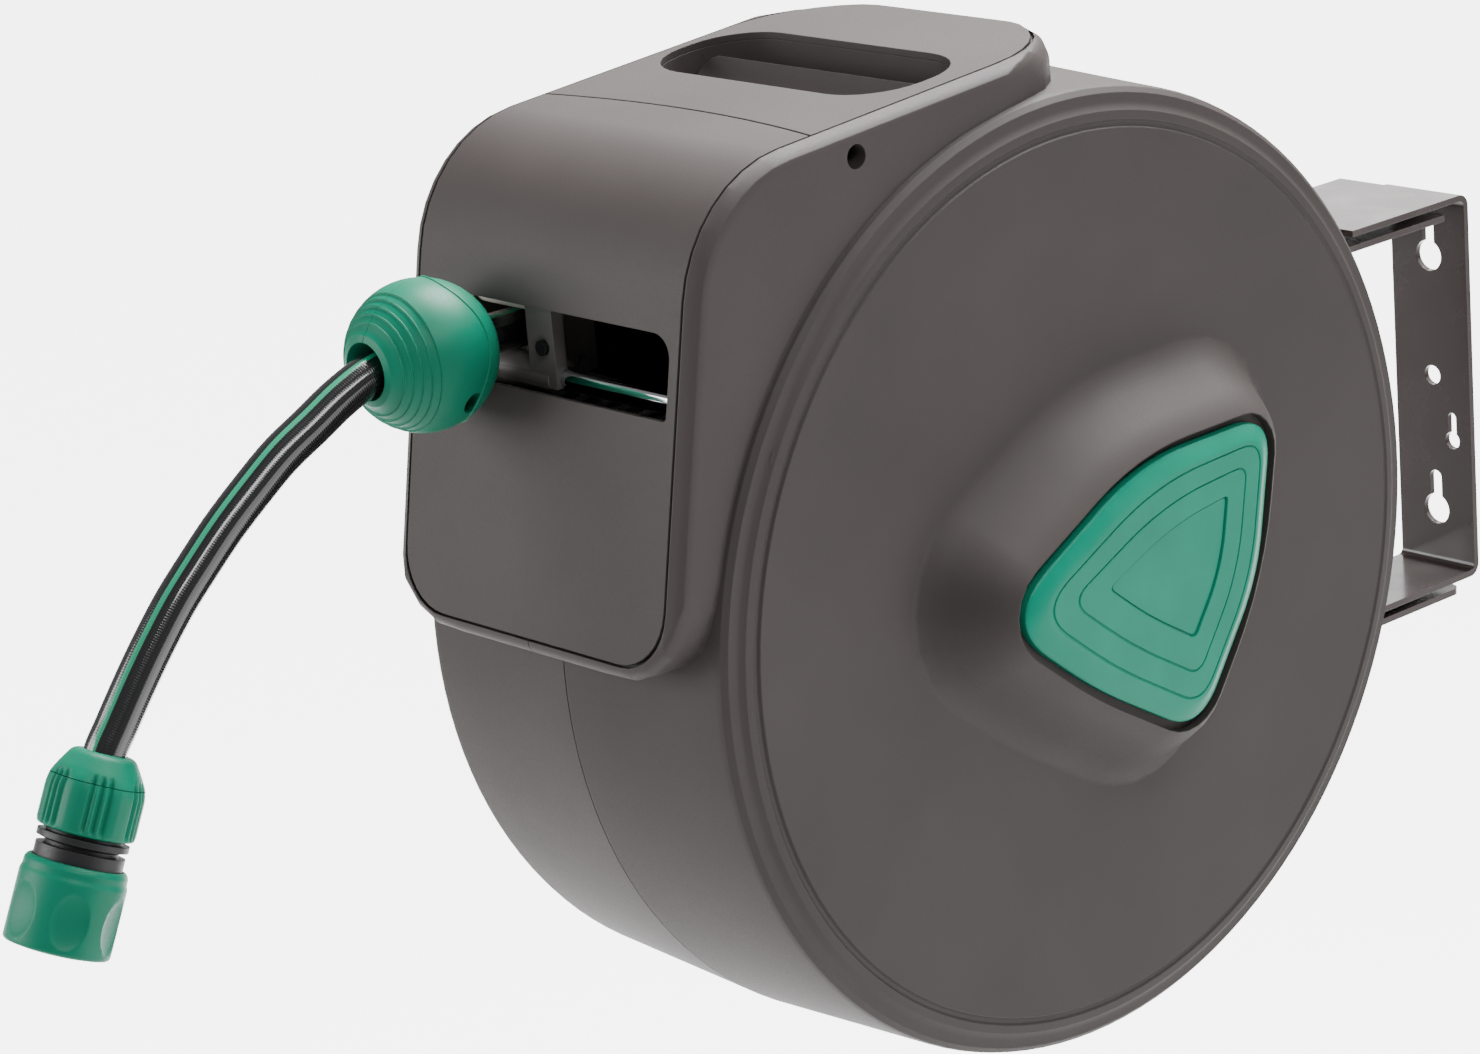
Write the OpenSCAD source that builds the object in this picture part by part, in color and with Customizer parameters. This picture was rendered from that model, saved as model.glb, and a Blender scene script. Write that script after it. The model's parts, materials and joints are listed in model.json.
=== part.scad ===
// Wall mounted hose reel with automatic rewind.
// Two moulded casing halves hang from a steel wall bracket on a vertical pivot pin and swing to
// either side. Inside, a spring driven drum holds the hose, and a gear train turns a lead screw
// that carries the hose guide along its rod, so that the hose winds in even layers.
// The reel's own modules are drawn about the drum's axis: X along the axis, -Y to the front, Z up.
// place() then sets that axis in front of the wall, whose face is the plane Y = 0.

/* [Casing] */
// Radius of the flat side faces
face_r = 190; // [184:1:194]
// Radius of the rounded shoulder beside each face
shoulder_r = 205; // [202:0.5:207]
// Radius of the casing at the parting seam
seam_r = 209; // [208:0.5:212]
// Half width of the casing between its side faces
face_x = 94.5; // [93:0.5:98]
// Wall thickness of the mouldings
wall = 3; // [2.5:0.25:3.5]
// Gap at the parting seam of the two halves
seam_gap = 0.5; // [0.2:0.1:0.6]
// Height of the triangular dome on the right face
dome_h = 32.5; // [30:0.5:36]
// Width of the dome's sloping flank
dome_run = 36; // [30:1:40]
// Height of the round boss on the left face
boss_h = 14; // [10:0.5:18]

/* [Front block] */
// Half width of the block that carries the panels
block_x = 87; // [86:0.5:90]
// Distance from the axis to the front face, at the reference height
front_reach = 208; // [206:0.5:212]
// Reference height of the front face above the axis
front_ref_z = 115; // [110:1:120]
// Lean of the front face
front_lean = 10.6; // [8:0.2:12]
// Height of the top face above the axis
top_z = 223; // [221:0.5:228]
// Rise of the top face towards the rear
top_slope = 4.5; // [3:0.25:6]
// Distance from the axis back to the rear wall of the block
block_rear = 36; // [32:1:40]
// Height of the bottom edge of the block above the axis
block_bottom = 12; // [8:1:20]
// Radius of the bend from the top face into the front face
brow_r = 60; // [50:1:70]
// Half width of the two panels
panel_x = 79; // [77.5:0.5:80]
// Thickness of the panels
panel_t = 3; // [2.5:0.25:3.5]
// Gap between a panel and its recess
panel_gap = 1.2; // [0.8:0.1:1.6]
// Width of the ledge that a panel rests on
ledge_w = 6; // [4:0.5:7]
// Height of the hose slot
slot_h = 33.5; // [30:0.5:38]
// Half width of the hose slot
slot_x = 74; // [70:0.5:75]
// Length of the handle opening
handle_l = 143; // [136:1:144]
// Width of the handle opening
handle_w = 60.5; // [57:0.5:63]

/* [Hose and drum] */
// Outside diameter of the hose
hose_d = 17; // [16:0.25:17.2]
// Advance of the winding in one turn
hose_pitch = 17.5; // [17.5:0.1:18.5]
// Radius of the drum core
core_r = 64.5; // [62:0.5:67]
// Wall of the drum core
core_wall = 4.5; // [3.5:0.25:6]
// Layers of hose on the drum
layers = 5; // [5:1:5]
// Radial step from one layer to the next
layer_step = 15; // [14.5:0.25:15.5]
// Turns in the outer layer
outer_turns = 4.7; // [3:0.1:4.7]
// Clear width between the drum flanges
lay_width = 108; // [107:0.5:112]
// Thickness of the drum flanges
flange_t = 4; // [3:0.25:5]
// Height of the flanges above the outer layer
flange_margin = 18.5; // [12:0.5:20]
// Radius of the fixed axle
axle_r = 12; // [11:0.25:13]
// Wall of the plain bushes
bush_wall = 4; // [3.5:0.25:5]
// Running clearance of shafts and pins, on the radius
run_gap = 0.05; // [0.02:0.01:0.08]

/* [Level wind] */
// Diameter of the chromed guide rod
rod_d = 10; // [9:0.25:11]
// Distance from the front face back to the guide rod
rod_setback = 19; // [17:0.5:21]
// Half width of the hose guide
guide_half = 32; // [31:0.5:33]
// Rest position of the hose guide along the rod
guide_x = -40; // [-42:0.5:-38]
// Gear module
gear_m = 2.5; // [2.5:0.05:2.6]
// Teeth of the drum gear
drum_teeth = 24; // [24:1:26]
// Teeth of the lead screw gear
screw_teeth = 18; // [17:1:19]
// Width of the gears
gear_w = 7; // [5:0.5:8]
// Radius of the lead screw
screw_r = 9; // [8:0.25:10]

/* [Wall bracket] */
// Distance from the casing's seam back to the pivot pin
pivot_reach = 45; // [42:1:54]
// Height of the drum's axis above the middle hole of the bracket
axis_rise = 9.5; // [7:0.5:14]
// Height of the bracket
bracket_h = 188; // [180:1:200]
// Width of the bracket's strip
bracket_w = 44.5; // [40:0.5:50]
// Thickness of the steel plate
plate_t = 3; // [2.5:0.25:4]
// Distance from the wall to the swivel pin
pivot_to_wall = 87; // [85:1:95]
// Diameter of the swivel pin
pivot_d = 10; // [8:0.5:12]
// Gap between an arm and the yoke plate under it
arm_gap = 4; // [3:0.25:5]
// Diameter of the keyhole heads
keyhole_d = 15; // [12:0.5:16]
// Width of the keyhole slots
keyslot_w = 7; // [5:0.5:8]
// Distance between the two keyholes
keyhole_pitch = 126; // [115:1:130]

/* [Stop ball and connector] */
// Radius of the stop ball
ball_r = 31; // [29:0.5:32]
// Diameter of the connector's sleeve
sleeve_d = 42; // [40.5:0.5:46]
// Length of the connector's sleeve
sleeve_l = 35; // [33:0.5:38]
// Diameter of the connector's socket
socket_d = 16; // [15:0.25:17]
// Outside diameter of the inlet thread
inlet_d = 26.4; // [24:0.1:28]

/* [Hidden] */
$fn = 96;
hull_fn = 32;
eps = 0.01;
fit = 0.02;
far = 400;

// Casing: inside sizes, ring grooves and bosses
block_in_x = block_x - wall;
face_in_x = face_x - wall;
groove = 1.3;
corner_r = 33;
rear_corner_r = 60;
edge_r = 7;
block_wall = panel_t + wall;
tan_lean = tan(front_lean);
tan_slope = tan(top_slope);
panel_bottom = block_bottom + 6;
panel_rear = block_rear - 7;
panel_corner_r = corner_r - 8;
panel_rear_r = rear_corner_r - 8;
brow_seam_y = -120;
brow_seam_r = 435;
boss_r = 7;
casing_boss_r = face_r - 12;
casing_boss_angles = [62, 20, -30, -90, -150];
screw_hole_r = 2.2;
screw_shank_r = 2;
screw_head_r = 4.5;
counterbore_r = 5;
screw_seat_x = 30;
block_screw = [-110, 202];
pad_x = 32;
pad_y = seam_r + 3;
bracket_mid = -axis_rise - 2.5;
pad_top = bracket_mid + bracket_h / 2 - 16;
pad_bottom = bracket_mid - bracket_h / 2 + 2;

// Drum: radii and places along the axis
hose_r = hose_d / 2;
winding_r = core_r + hose_r + (layers - 1) * layer_step;
hose_z = winding_r;
flange_r = winding_r + hose_r + flange_margin;
flange_in = lay_width / 2;
flange_out = flange_in + flange_t;
hub_in_r = axle_r + bush_wall;
hub_r = hub_in_r + 4;
gear_seat_r = hub_r + 2;
gear_x = flange_out + 18;
gear_end = gear_x + gear_w;
ratchet_w = 8;
ratchet_r = 46;
ratchet_teeth = 12;
ratchet_depth = 6;
hub_end_left = flange_out + ratchet_w;
hub_end_right = gear_end + 1;
thrust_gap = 0.5;
axle_boss_r = axle_r + 7;
collar_w = 5;
axle_right = face_x + dome_h - 10;
axle_left = face_x + boss_h;
bore_r = axle_r - 3.4;
web_t = 4;
spout_x = -31;
seal_pitch = 18;
spring_gap = 4;
spring_t = 1.2;
spring_turns = 7;
arbor_r = axle_r + 6;

// Lead screw, guide rod and gears
front_at_hose = front_y(hose_z, 0);
bush_r = rod_d / 2 + 2.5;
rod_y = front_at_hose + rod_setback;
rod_z = hose_z - hose_r - 1 - bush_r;
drum_pr = gear_m * drum_teeth / 2;
screw_pr = gear_m * screw_teeth / 2;
screw_step = screw_pr + gear_m + rod_d / 2 + 2.6;
screw_dir = -47.5;
screw_y = rod_y + screw_step * cos(screw_dir);
screw_z = rod_z + screw_step * sin(screw_dir);
screw_reach = norm([screw_y, screw_z]);
idler_teeth = ceil((screw_reach + 4 - drum_pr - screw_pr) / gear_m);
idler_pr = gear_m * idler_teeth / 2;
reach_a = drum_pr + idler_pr;
reach_b = screw_pr + idler_pr;
along = (reach_a * reach_a - reach_b * reach_b + screw_reach * screw_reach) / (2 * screw_reach);
aside = sqrt(reach_a * reach_a - along * along);
screw_unit = [screw_y, screw_z] / screw_reach;
idler_at = along * screw_unit + aside * [screw_unit.y, -screw_unit.x];
to_idler = atan2(idler_at.y, idler_at.x);
to_screw = atan2(screw_z - idler_at.y, screw_y - idler_at.x);
idler_phase = to_idler + 180 + 180 / idler_teeth;
mesh_share = (to_screw - idler_phase) * idler_teeth / 360;
screw_phase = to_screw + 180 + (mesh_share + 0.5) * 360 / screw_teeth;
backlash = 0.25;
idler_pin_r = 6;
screw_shaft_r = 5;
screw_pitch = hose_pitch * screw_teeth / drum_teeth;
thread_l = 2 * (gear_x - 5);
groove_share = 150;
screw_root_r = screw_r - 3;
follower_r = 2;
roller_r = 6;
roller_gap = 0.4;
post_in = guide_half - 16;

// Wall bracket and swivel yoke
arm_top = bracket_mid + bracket_h / 2;
arm_bottom = bracket_mid - bracket_h / 2;
pivot_y = seam_r + pivot_reach;
wall_y = pivot_y + pivot_to_wall;
pin_r = pivot_d / 2;
tongue_r = pin_r + 8;
step_y = pivot_y + 4;
ear_x = bracket_w / 2 + 27;
ear_end = wall_y - 7;
bend_r = 6;
yoke_rear = pivot_y + 74;
yoke_top = arm_top - plate_t - arm_gap;
yoke_bottom = arm_bottom - arm_gap + 1;
clip_t = 2;
keyhole_low = arm_bottom + 29.5;
pilot_d = 9.5;
small_key = [11, -axis_rise - 31];
small_key_d = 8.5;
yoke_screw_at = [for (x = [-12, 12], z = [pad_bottom + 28, pad_top - 28]) [x, z]];

// Stop ball and connector
ball_at = [guide_x, front_y(hose_z - slot_h / 2, 0) - ball_r + 4.6, hose_z];
ball_mouth_r = hose_r + 3.3;
function ball_screw_at(s) = [ball_at.y + 3.3, ball_at.z + s * (hose_r + 8)];
connector_droop = 64.75;
connector_at = [guide_x, -404, 17];
nut_l = 32;
nut_r = 19;
hose_stop = 15;
neck_l = 11;
sleeve_top = nut_l + neck_l;
connector_l = sleeve_top + sleeve_l;
sleeve_r = sleeve_d / 2;
sleeve_wall = 3;
socket_r = socket_d / 2;
socket_depth = 24;
sleeve_bore_r = sleeve_r - sleeve_wall - 0.2;
stem_r = sleeve_bore_r - 2.8;
collar_r = sleeve_bore_r - 0.3;
spring_z0 = sleeve_top + 2;
spring_z1 = sleeve_top + 15;
spring_wire = 0.9;

// Route of the free hose, in the plane of the guide: front distance and height
hose_route = [[-206, 133], [-222, 133], [-238, 133], [-248, 133], [-262, 131], [-276, 126],
              [-292, 118], [-308, 110], [-323, 100], [-338, 89], [-352, 77], [-364, 66],
              [-375, 54], [-385, 42], [-392, 33], [-398, 25], [-404, 17]];
lead_end = -206;

// Hub badge: corners and mid points of the sides, in the plane of the right face
badge_pts = [[81, 56], [0, 55], [-86, 10], [-32, -34], [27, -70], [68, -12]];
badge_radii = [14, 120, 18, 300, 20, 150];
badge_t = 8;
badge_recess = 6;
badge_clear = 4;

// Colours of the finishes
casing_grey = "#5f5a58";
bracket_black = "#2b2827";
reel_green = "#22967a";
hose_black = "#1b1b1e";
steel = "#b9bcc0";
brass = "#b59a4c";
guide_grey = "#8d8a88";
drum_black = "#33353a";
gear_white = "#d8d6cf";

// Geometry helpers
function unit(v) = v / norm(v);

// Points of a corner rounded with radius r, between the corners before and after it
function corner(a, p, b, r, n) =
    r <= 0 ? [p] :
    let (u = unit(a - p), v = unit(b - p), half = acos(u * v) / 2,
         c = p + unit(u + v) * r / sin(half), s = p + u * r / tan(half) - c,
         e = p + v * r / tan(half) - c, a0 = atan2(s.y, s.x), da = atan2(cross(s, e), s * e))
    [for (i = [0:n]) c + r * [cos(a0 + da * i / n), sin(a0 + da * i / n)]];

// A polygon with each of its corners rounded
function rounded(pts, radii, n = 8) =
    let (k = len(pts))
    [for (i = [0:k - 1]) each corner(pts[(i + k - 1) % k], pts[i], pts[(i + 1) % k], radii[i], n)];

// A convex polygon, anticlockwise, with each side moved in by d
function inset(pts, d) =
    let (k = len(pts))
    [for (i = [0:k - 1])
        let (u = unit(pts[i] - pts[(i + k - 1) % k]), v = unit(pts[(i + 1) % k] - pts[i]),
             n1 = [-u.y, u.x], m = unit(n1 + [-v.y, v.x]))
        pts[i] + m * d / (m * n1)];

// A rectangle with rounded corners: low and high corner, then the radii from low left, anticlockwise
function rounded_box(lo, hi, radii, n = 8) =
    rounded([lo, [hi.x, lo.y], hi, [lo.x, hi.y]], radii, n);

// Lays a drawing of the YZ plane along X
module along_x(x0, x1) translate([x0, 0, 0]) rotate([90, 0, 90]) linear_extrude(x1 - x0) children();

// A cylinder along X, at a point of the YZ plane
module rod_x(x0, x1, r, at = [0, 0])
    translate([x0, at.x, at.y]) rotate([0, 90, 0]) cylinder(h = x1 - x0, r = r);

// A revolved shape about X, from points of radius and place along X
module revolve_x(pts) rotate([0, 90, 0]) rotate_extrude() polygon(pts);

// A ring about X
module ring_x(x0, x1, r_in, r_out) revolve_x([[r_in, x0], [r_out, x0], [r_out, x1], [r_in, x1]]);

// Sets the drum's axis in front of the wall
module place() translate([0, -wall_y, axis_rise]) children();

// Front and top faces of the block, moved in by d
function front_y(z, d) = -front_reach + d / cos(front_lean) + (z - front_ref_z) * tan_lean;
function top_face(y, d) = top_z - d / cos(top_slope) + y * tan_slope;
function brow_y(d) =
    (front_y(0, d) + top_face(0, d) * tan_lean) / (1 - tan_slope * tan_lean);

// Side outline of the block at a distance x from the seam, moved in by d, and by sole at the bottom
function bow(x, r) = x <= block_x - r ? 0 : r - sqrt(max(0, r * r - pow(x - block_x + r, 2)));
function block_outline(x, d, sole) =
    let (low = block_bottom + bow(x, corner_r) + sole, rear = block_rear - bow(x, rear_corner_r) - d)
    rounded([[front_y(low, d), low], [3 * d - 0.72 * seam_r, low], [rear, 0.9 * seam_r - 3 * d],
             [rear, top_face(rear, d)], [brow_y(d), top_face(brow_y(d), d)]],
            [6, 0, 0, 10 - min(d, 9), brow_r - d]);

// Half of the block as a loft over its side outlines, with a rounded edge
module block_half(x0, x1, d) {
    shrink = x1 / block_x;
    hull()
        for (s = [[x0, 0], [44, 0], [60, 0], [71, 0], [80, 0], [83.5, 0.2], [86, 0.55], [87, 1]]) {
            x = s == [x0, 0] ? x0 : s.x * block_x / 87;
            inward = d + edge_r * s.y;
            along_x(x * shrink - eps, x * shrink) polygon(block_outline(x, inward, inward));
        }
}

// Half of the drum casing, moved in by d: flat face, two ring grooves, shoulder, drafted barrel
module drum_half(x0, d) {
    fx = face_x - d;
    g = d > 0 ? 0 : groove;
    gap = shoulder_r - face_r;
    revolve_x([[0, x0], [0, fx], [face_r - 2 - d / 2, fx], [face_r - 1 - d / 2, fx - g],
               [face_r + 0.5 - d / 2, fx - g], [face_r + 1.5 - d / 2, fx - 0.4 * g],
               [face_r + 5 - d / 2, fx - 0.8 * g], [face_r + 7 - d / 2, fx - 2 * g],
               [face_r + 8.4 - d / 2, fx - 2.4 * g], [face_r + 0.8 * gap - d / 2, fx - 3.4],
               [shoulder_r - 0.7 - d, fx - 5.6], [shoulder_r - d, fx - 8], [seam_r - d, x0]]);
}

// Cuts for the two panels: the skin of the block between two depths, inside the panels' outline
module panel_skin(g, d0, d1) {
    intersection() {
        along_x(-panel_x - g, panel_x + g) difference() {
            polygon(block_outline(0, d0, 0));
            polygon(block_outline(0, d1, -10));
        }
        translate([0, -front_reach, front_ref_z]) rotate([90 - front_lean, 0, 0])
            translate([0, 0, -far]) linear_extrude(2 * far)
            polygon(rounded_box([-panel_x - g, panel_bottom - front_ref_z - g],
                                [panel_x + g, far],
                                [panel_corner_r, panel_corner_r, 0, 0]));
        linear_extrude(far)
            polygon(rounded_box([-panel_x - g, -far], [panel_x + g, panel_rear + g],
                                [0, 0, panel_rear_r, panel_rear_r]));
    }
}

// Everything in front of the seam between the two panels
module before_seam(g)
    translate([0, brow_seam_y - brow_seam_r, 0]) cylinder(h = far, r = brow_seam_r + g, $fn = 240);

// Outline of the hub badge, moved in by d
function badge_outline(d) = rounded(inset(badge_pts, d), [for (r = badge_radii) max(2, r - d)], 6);

// Solid between rings of equal count: caps at both ends and two triangles to each side face
module loft(rings) {
    k = len(rings[0]);
    m = len(rings);
    polyhedron(
        points = [for (r = rings) each r],
        faces = concat(
            [[for (i = [0:k - 1]) i]], [[for (i = [0:k - 1]) (m - 1) * k + k - 1 - i]],
            [for (j = [0:m - 2], i = [0:k - 1])
                [j * k + i, (j + 1) * k + (i + 1) % k, j * k + (i + 1) % k]],
            [for (j = [0:m - 2], i = [0:k - 1])
                [j * k + i, (j + 1) * k + i, (j + 1) * k + (i + 1) % k]]));
}

// The dome: badge outlines that grow towards the face on a smooth flank
module dome(x0, height, grow) {
    steps = 8;
    rings = [for (s = [0:steps])
        let (w = s / steps, x = x0 + height * (0.5 - 0.5 * cos(180 * w)), out = dome_run * (1 - w) + grow)
        [for (p = badge_outline(-out)) [x, p.x, p.y]]];
    foot = [for (p = badge_outline(-dome_run - grow)) [x0 - wall - 1, p.x, p.y]];
    loft(concat([foot], rings));
}

// Places that repeat
module at_casing_bosses() for (a = casing_boss_angles)
    translate([0, casing_boss_r * cos(a), casing_boss_r * sin(a)]) children();

// One half of the casing, drawn on the right side, with its bosses and panel recesses
module casing_half(clear_screws) {
    half_gap = seam_gap / 2;
    difference() {
        union() {
            difference() {
                union() {
                    drum_half(half_gap, 0);
                    block_half(half_gap, block_x, 0);
                    translate([half_gap, 0, pad_bottom])
                        cube([pad_x - half_gap, pad_y, pad_top - pad_bottom]);
                }
                drum_half(-1, wall);
                block_half(-1, block_in_x, block_wall);
                panel_skin(panel_gap, -4, panel_t);
                panel_skin(-ledge_w, -4, block_wall + 2);
            }
            at_casing_bosses() rod_x(half_gap, face_in_x + 1, boss_r);
            rod_x(half_gap, block_in_x + 1, boss_r, block_screw);
            rod_x(block_in_x - 6, block_in_x + 1, rod_d / 2 + 2.5, [rod_y, rod_z]);
            rod_x(face_in_x - 6, face_in_x + 1, screw_shaft_r + 4, [screw_y, screw_z]);
        }
        at_casing_bosses() rod_x(-1, clear_screws ? far : screw_seat_x, screw_hole_r);
        rod_x(-1, clear_screws ? screw_seat_x : far, screw_hole_r, block_screw);
        if (clear_screws) at_casing_bosses() rod_x(screw_seat_x, far, counterbore_r);
        else rod_x(screw_seat_x, far, counterbore_r, block_screw);
        rod_x(block_in_x - 7, block_in_x + eps, rod_d / 2 + fit, [rod_y, rod_z]);
        rod_x(face_in_x - 7, face_in_x + eps, screw_shaft_r + run_gap, [screw_y, screw_z]);
        for (p = yoke_screw_at) translate([p.x, pad_y - 20, p.y]) rotate([-90, 0, 0])
            cylinder(h = 21, r = screw_shaft_r / 2 + 0.1);
    }
}

// Sub-parts of the casing
module casing_right() color(casing_grey) {
    difference() {
        union() {
            casing_half(false);
            dome(face_x - 0.4, dome_h + 0.4, 0);
            rod_x(face_in_x - 7, face_in_x + 1, idler_pin_r + 4, idler_at);
        }
        dome(face_in_x - 0.5, dome_h - badge_recess + 0.5, -wall);
        along_x(face_x + dome_h - badge_recess, far) polygon(badge_outline(-badge_clear));
        rod_x(face_in_x - 8, face_in_x + eps, idler_pin_r + fit, idler_at);
    }
    ring_x(hub_end_right + collar_w + 2 * thrust_gap, face_x + dome_h - badge_recess - wall + 1,
           axle_r + fit, axle_boss_r);
}

module casing_left() color(casing_grey) {
    difference() {
        union() {
            mirror([1, 0, 0]) casing_half(true);
            mirror([1, 0, 0]) revolve_x([[0, face_in_x - 1], [70, face_in_x - 1], [70, face_x],
                                         [64, face_x + 2], [56, axle_left], [0, axle_left]]);
            rod_x(-face_in_x - 1, -flange_out - 10, 8, pawl_at);
        }
        mirror([1, 0, 0]) revolve_x([[0, face_in_x - 2], [66, face_in_x - 2], [60, face_in_x + 2],
                                     [53, axle_left - wall], [0, axle_left - wall]]);
        rod_x(-face_in_x - eps, -flange_out, pawl_pin_r + fit, pawl_at);
        rod_x(-axle_left - 1, -axle_left + wall + 1, axle_r + fit);
        tub_room();
    }
    ring_x(-axle_left, -hub_end_left - thrust_gap, axle_r + fit, axle_boss_r);
}

// Screws that join the halves: five from the left face, one from the right side of the block
module casing_screw() {
    rod_x(-screw_seat_x + 4, screw_seat_x - 2, screw_shank_r);
    rod_x(-screw_seat_x - 3.5, -screw_seat_x, screw_head_r);
    rod_x(-screw_seat_x, -screw_seat_x + 4, screw_shank_r);
}
module casing_screws() color(steel) {
    at_casing_bosses() casing_screw();
    translate([0, block_screw.x, block_screw.y]) mirror([1, 0, 0]) casing_screw();
}

// Front panel with the hose slot
module front_panel() color(casing_grey) difference() {
    intersection() {
        panel_skin(0, 0, panel_t);
        before_seam(0);
    }
    translate([0, front_y(hose_z, 0), hose_z]) rotate([90 - front_lean, 0, 0]) translate([0, 0, -20])
        linear_extrude(40)
        polygon(rounded_box([-slot_x, -slot_h / 2], [slot_x, slot_h / 2], [2, 2, 10, 10]));
}

handle_mid_y = -51.75;
handle_mid_x = -3;
function handle_outline(g) =
    let (hx = handle_l / 2 + g, hy = handle_w / 2 + g, r = hy - 3)
    rounded_box([handle_mid_x - hx, handle_mid_y - hy], [handle_mid_x + hx, handle_mid_y + hy],
                [r, r, r, r]);

// Room for the handle pocket in the ledge of the casing
module tub_room()
    translate([0, 0, tub_floor - wall - panel_gap]) linear_extrude(far)
        polygon(handle_outline(wall + panel_gap));

module top_panel() color(casing_grey) difference() {
    panel_skin(0, 0, panel_t);
    before_seam(panel_gap);
    translate([0, 0, top_z - 40]) linear_extrude(80) polygon(handle_outline(0));
}

// Handle pocket under the top panel, with the grip that the fingers close round
tub_floor = flange_r + 8;
grip_top = top_z - 8;
module handle_tub() color(casing_grey) {
    difference() {
        intersection() {
            translate([0, 0, tub_floor - wall]) linear_extrude(far) polygon(handle_outline(wall));
            along_x(-far, far) polygon(block_outline(0, panel_t, 0));
        }
        translate([0, 0, tub_floor]) linear_extrude(far) polygon(handle_outline(0));
        grip(wall, tub_floor - 3 * wall);
    }
    difference() {
        grip(0, tub_floor - 1);
        grip(wall, tub_floor - 3 * wall);
    }
}

// Grip: a hump from the pocket's front wall to its middle, with round ends and a scooped front, moved in by d
scoop_r = 24.5;
scoop_y = handle_mid_y - 18;
scoop_z = grip_top + 6.5;
module grip(d, low) intersection() {
    along_x(-far, far) difference() {
        polygon(rounded_box([handle_mid_y - handle_w / 2 - 1, low], [handle_mid_y + 9 - d, grip_top - d],
                            [0, 0, 4 - d, 0]));
        translate([scoop_y, scoop_z]) circle(r = scoop_r + d);
    }
    translate([0, far / 2, 0]) rotate([90, 0, 0]) linear_extrude(far)
        polygon(rounded_box([handle_mid_x + d + 3 - handle_l / 2, low],
                            [handle_mid_x + handle_l / 2 - 3 - d, grip_top - d],
                            [0, 0, 12 - d, 12 - d]));
    linear_extrude(far) polygon(handle_outline(0.5 - d));
}

// Green hub cover: bevelled plate with engraved contour lines
module hub_cover() color(reel_green) {
    x0 = face_x + dome_h - badge_recess;
    difference() {
        union() {
            along_x(x0, x0 + badge_t - 2) polygon(badge_outline(0));
            along_x(x0 + badge_t - 2 - eps, x0 + badge_t - 1) polygon(badge_outline(1));
            along_x(x0 + badge_t - 1 - eps, x0 + badge_t) polygon(badge_outline(2.5));
        }
        for (d = [9, 17, 25]) along_x(x0 + badge_t - 0.8, x0 + badge_t + 1) difference() {
            polygon(badge_outline(d));
            polygon(badge_outline(d + 1.1));
        }
    }
}

// Wall bracket: bent strip with keyholes, two arms and an ear on the upper one
module keyhole(x, z, d, w, l) translate([x, wall_y - plate_t - 1, z]) rotate([-90, 0, 0]) {
    cylinder(h = plate_t + 2, r = d / 2);
    translate([0, -(l - d / 2 - w / 2), 0]) cylinder(h = plate_t + 2, r = w / 2);
    translate([-w / 2, -(l - d / 2 - w / 2), 0]) cube([w, l - d / 2 - w / 2, plate_t + 2]);
}

// Bent strip: outline of a channel in the YZ plane, open to the front
function channel(y0, y1, z0, z1, t, r) = concat(
    rounded([[y0, z0], [y1, z0], [y1, z1], [y0, z1]], [0, r, r, 0]),
    rounded([[y0, z1 - t], [y1 - t, z1 - t], [y1 - t, z0 + t], [y0, z0 + t]], [0, r - t, r - t, 0]));

// Plan of an arm: strip at the wall, shoulder, and a tongue round the pin
module arm_plan(ear) {
    half = bracket_w / 2;
    translate([-half, step_y]) square([2 * half, wall_y - step_y + 1]);
    translate([0, pivot_y]) circle(r = tongue_r);
    translate([-tongue_r, pivot_y]) square([2 * tongue_r, step_y - pivot_y + 1]);
    if (ear) translate([-ear_x, step_y]) square([ear_x, ear_end - step_y]);
}

module wall_bracket() color(bracket_black) difference() {
    intersection() {
        along_x(-far, far)
            polygon(channel(pivot_y - tongue_r - 1, wall_y, arm_bottom, arm_top, plate_t, bend_r));
        union() {
            linear_extrude(far) arm_plan(true);
            translate([0, 0, -far]) linear_extrude(far) arm_plan(false);
        }
    }
    translate([0, pivot_y, -far]) cylinder(h = 2 * far, r = pin_r + run_gap);
    keyhole(0, keyhole_low, keyhole_d, keyslot_w, keyhole_d + 12);
    keyhole(0, keyhole_low + keyhole_pitch, keyhole_d, keyslot_w, keyhole_d + 12);
    keyhole(small_key.x, small_key.y, small_key_d, 5, small_key_d + 9.5);
    translate([0, wall_y - plate_t - 1, -axis_rise]) rotate([-90, 0, 0])
        cylinder(h = plate_t + 2, r = pilot_d / 2);
}

// Swivel yoke: a channel open to the wall, bolted to the pad behind the casing
module swivel_yoke() color(bracket_black) difference() {
    intersection() {
        along_x(-far, far) mirror([1, 0])
            polygon(channel(-yoke_rear, -pad_y, yoke_bottom - plate_t, yoke_top, plate_t, bend_r));
        linear_extrude(2 * far, center = true)
            polygon(rounded_box([-bracket_w / 2, pad_y - 1], [bracket_w / 2, yoke_rear], [0, 0, 6, 6]));
    }
    translate([0, pivot_y, -far]) cylinder(h = 2 * far, r = pin_r + run_gap);
    for (p = yoke_screw_at) translate([p.x, pad_y - 1, p.y]) rotate([-90, 0, 0])
        cylinder(h = plate_t + 2, r = screw_shaft_r / 2 + 0.3);
}

module yoke_screws() color(steel) for (p = yoke_screw_at)
    translate([p.x, pad_y, p.y]) rotate([-90, 0, 0]) {
        translate([0, 0, -18]) cylinder(h = 18 + plate_t, r = screw_shaft_r / 2);
        translate([0, 0, plate_t]) cylinder(h = 4, r = 5);
    }

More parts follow.
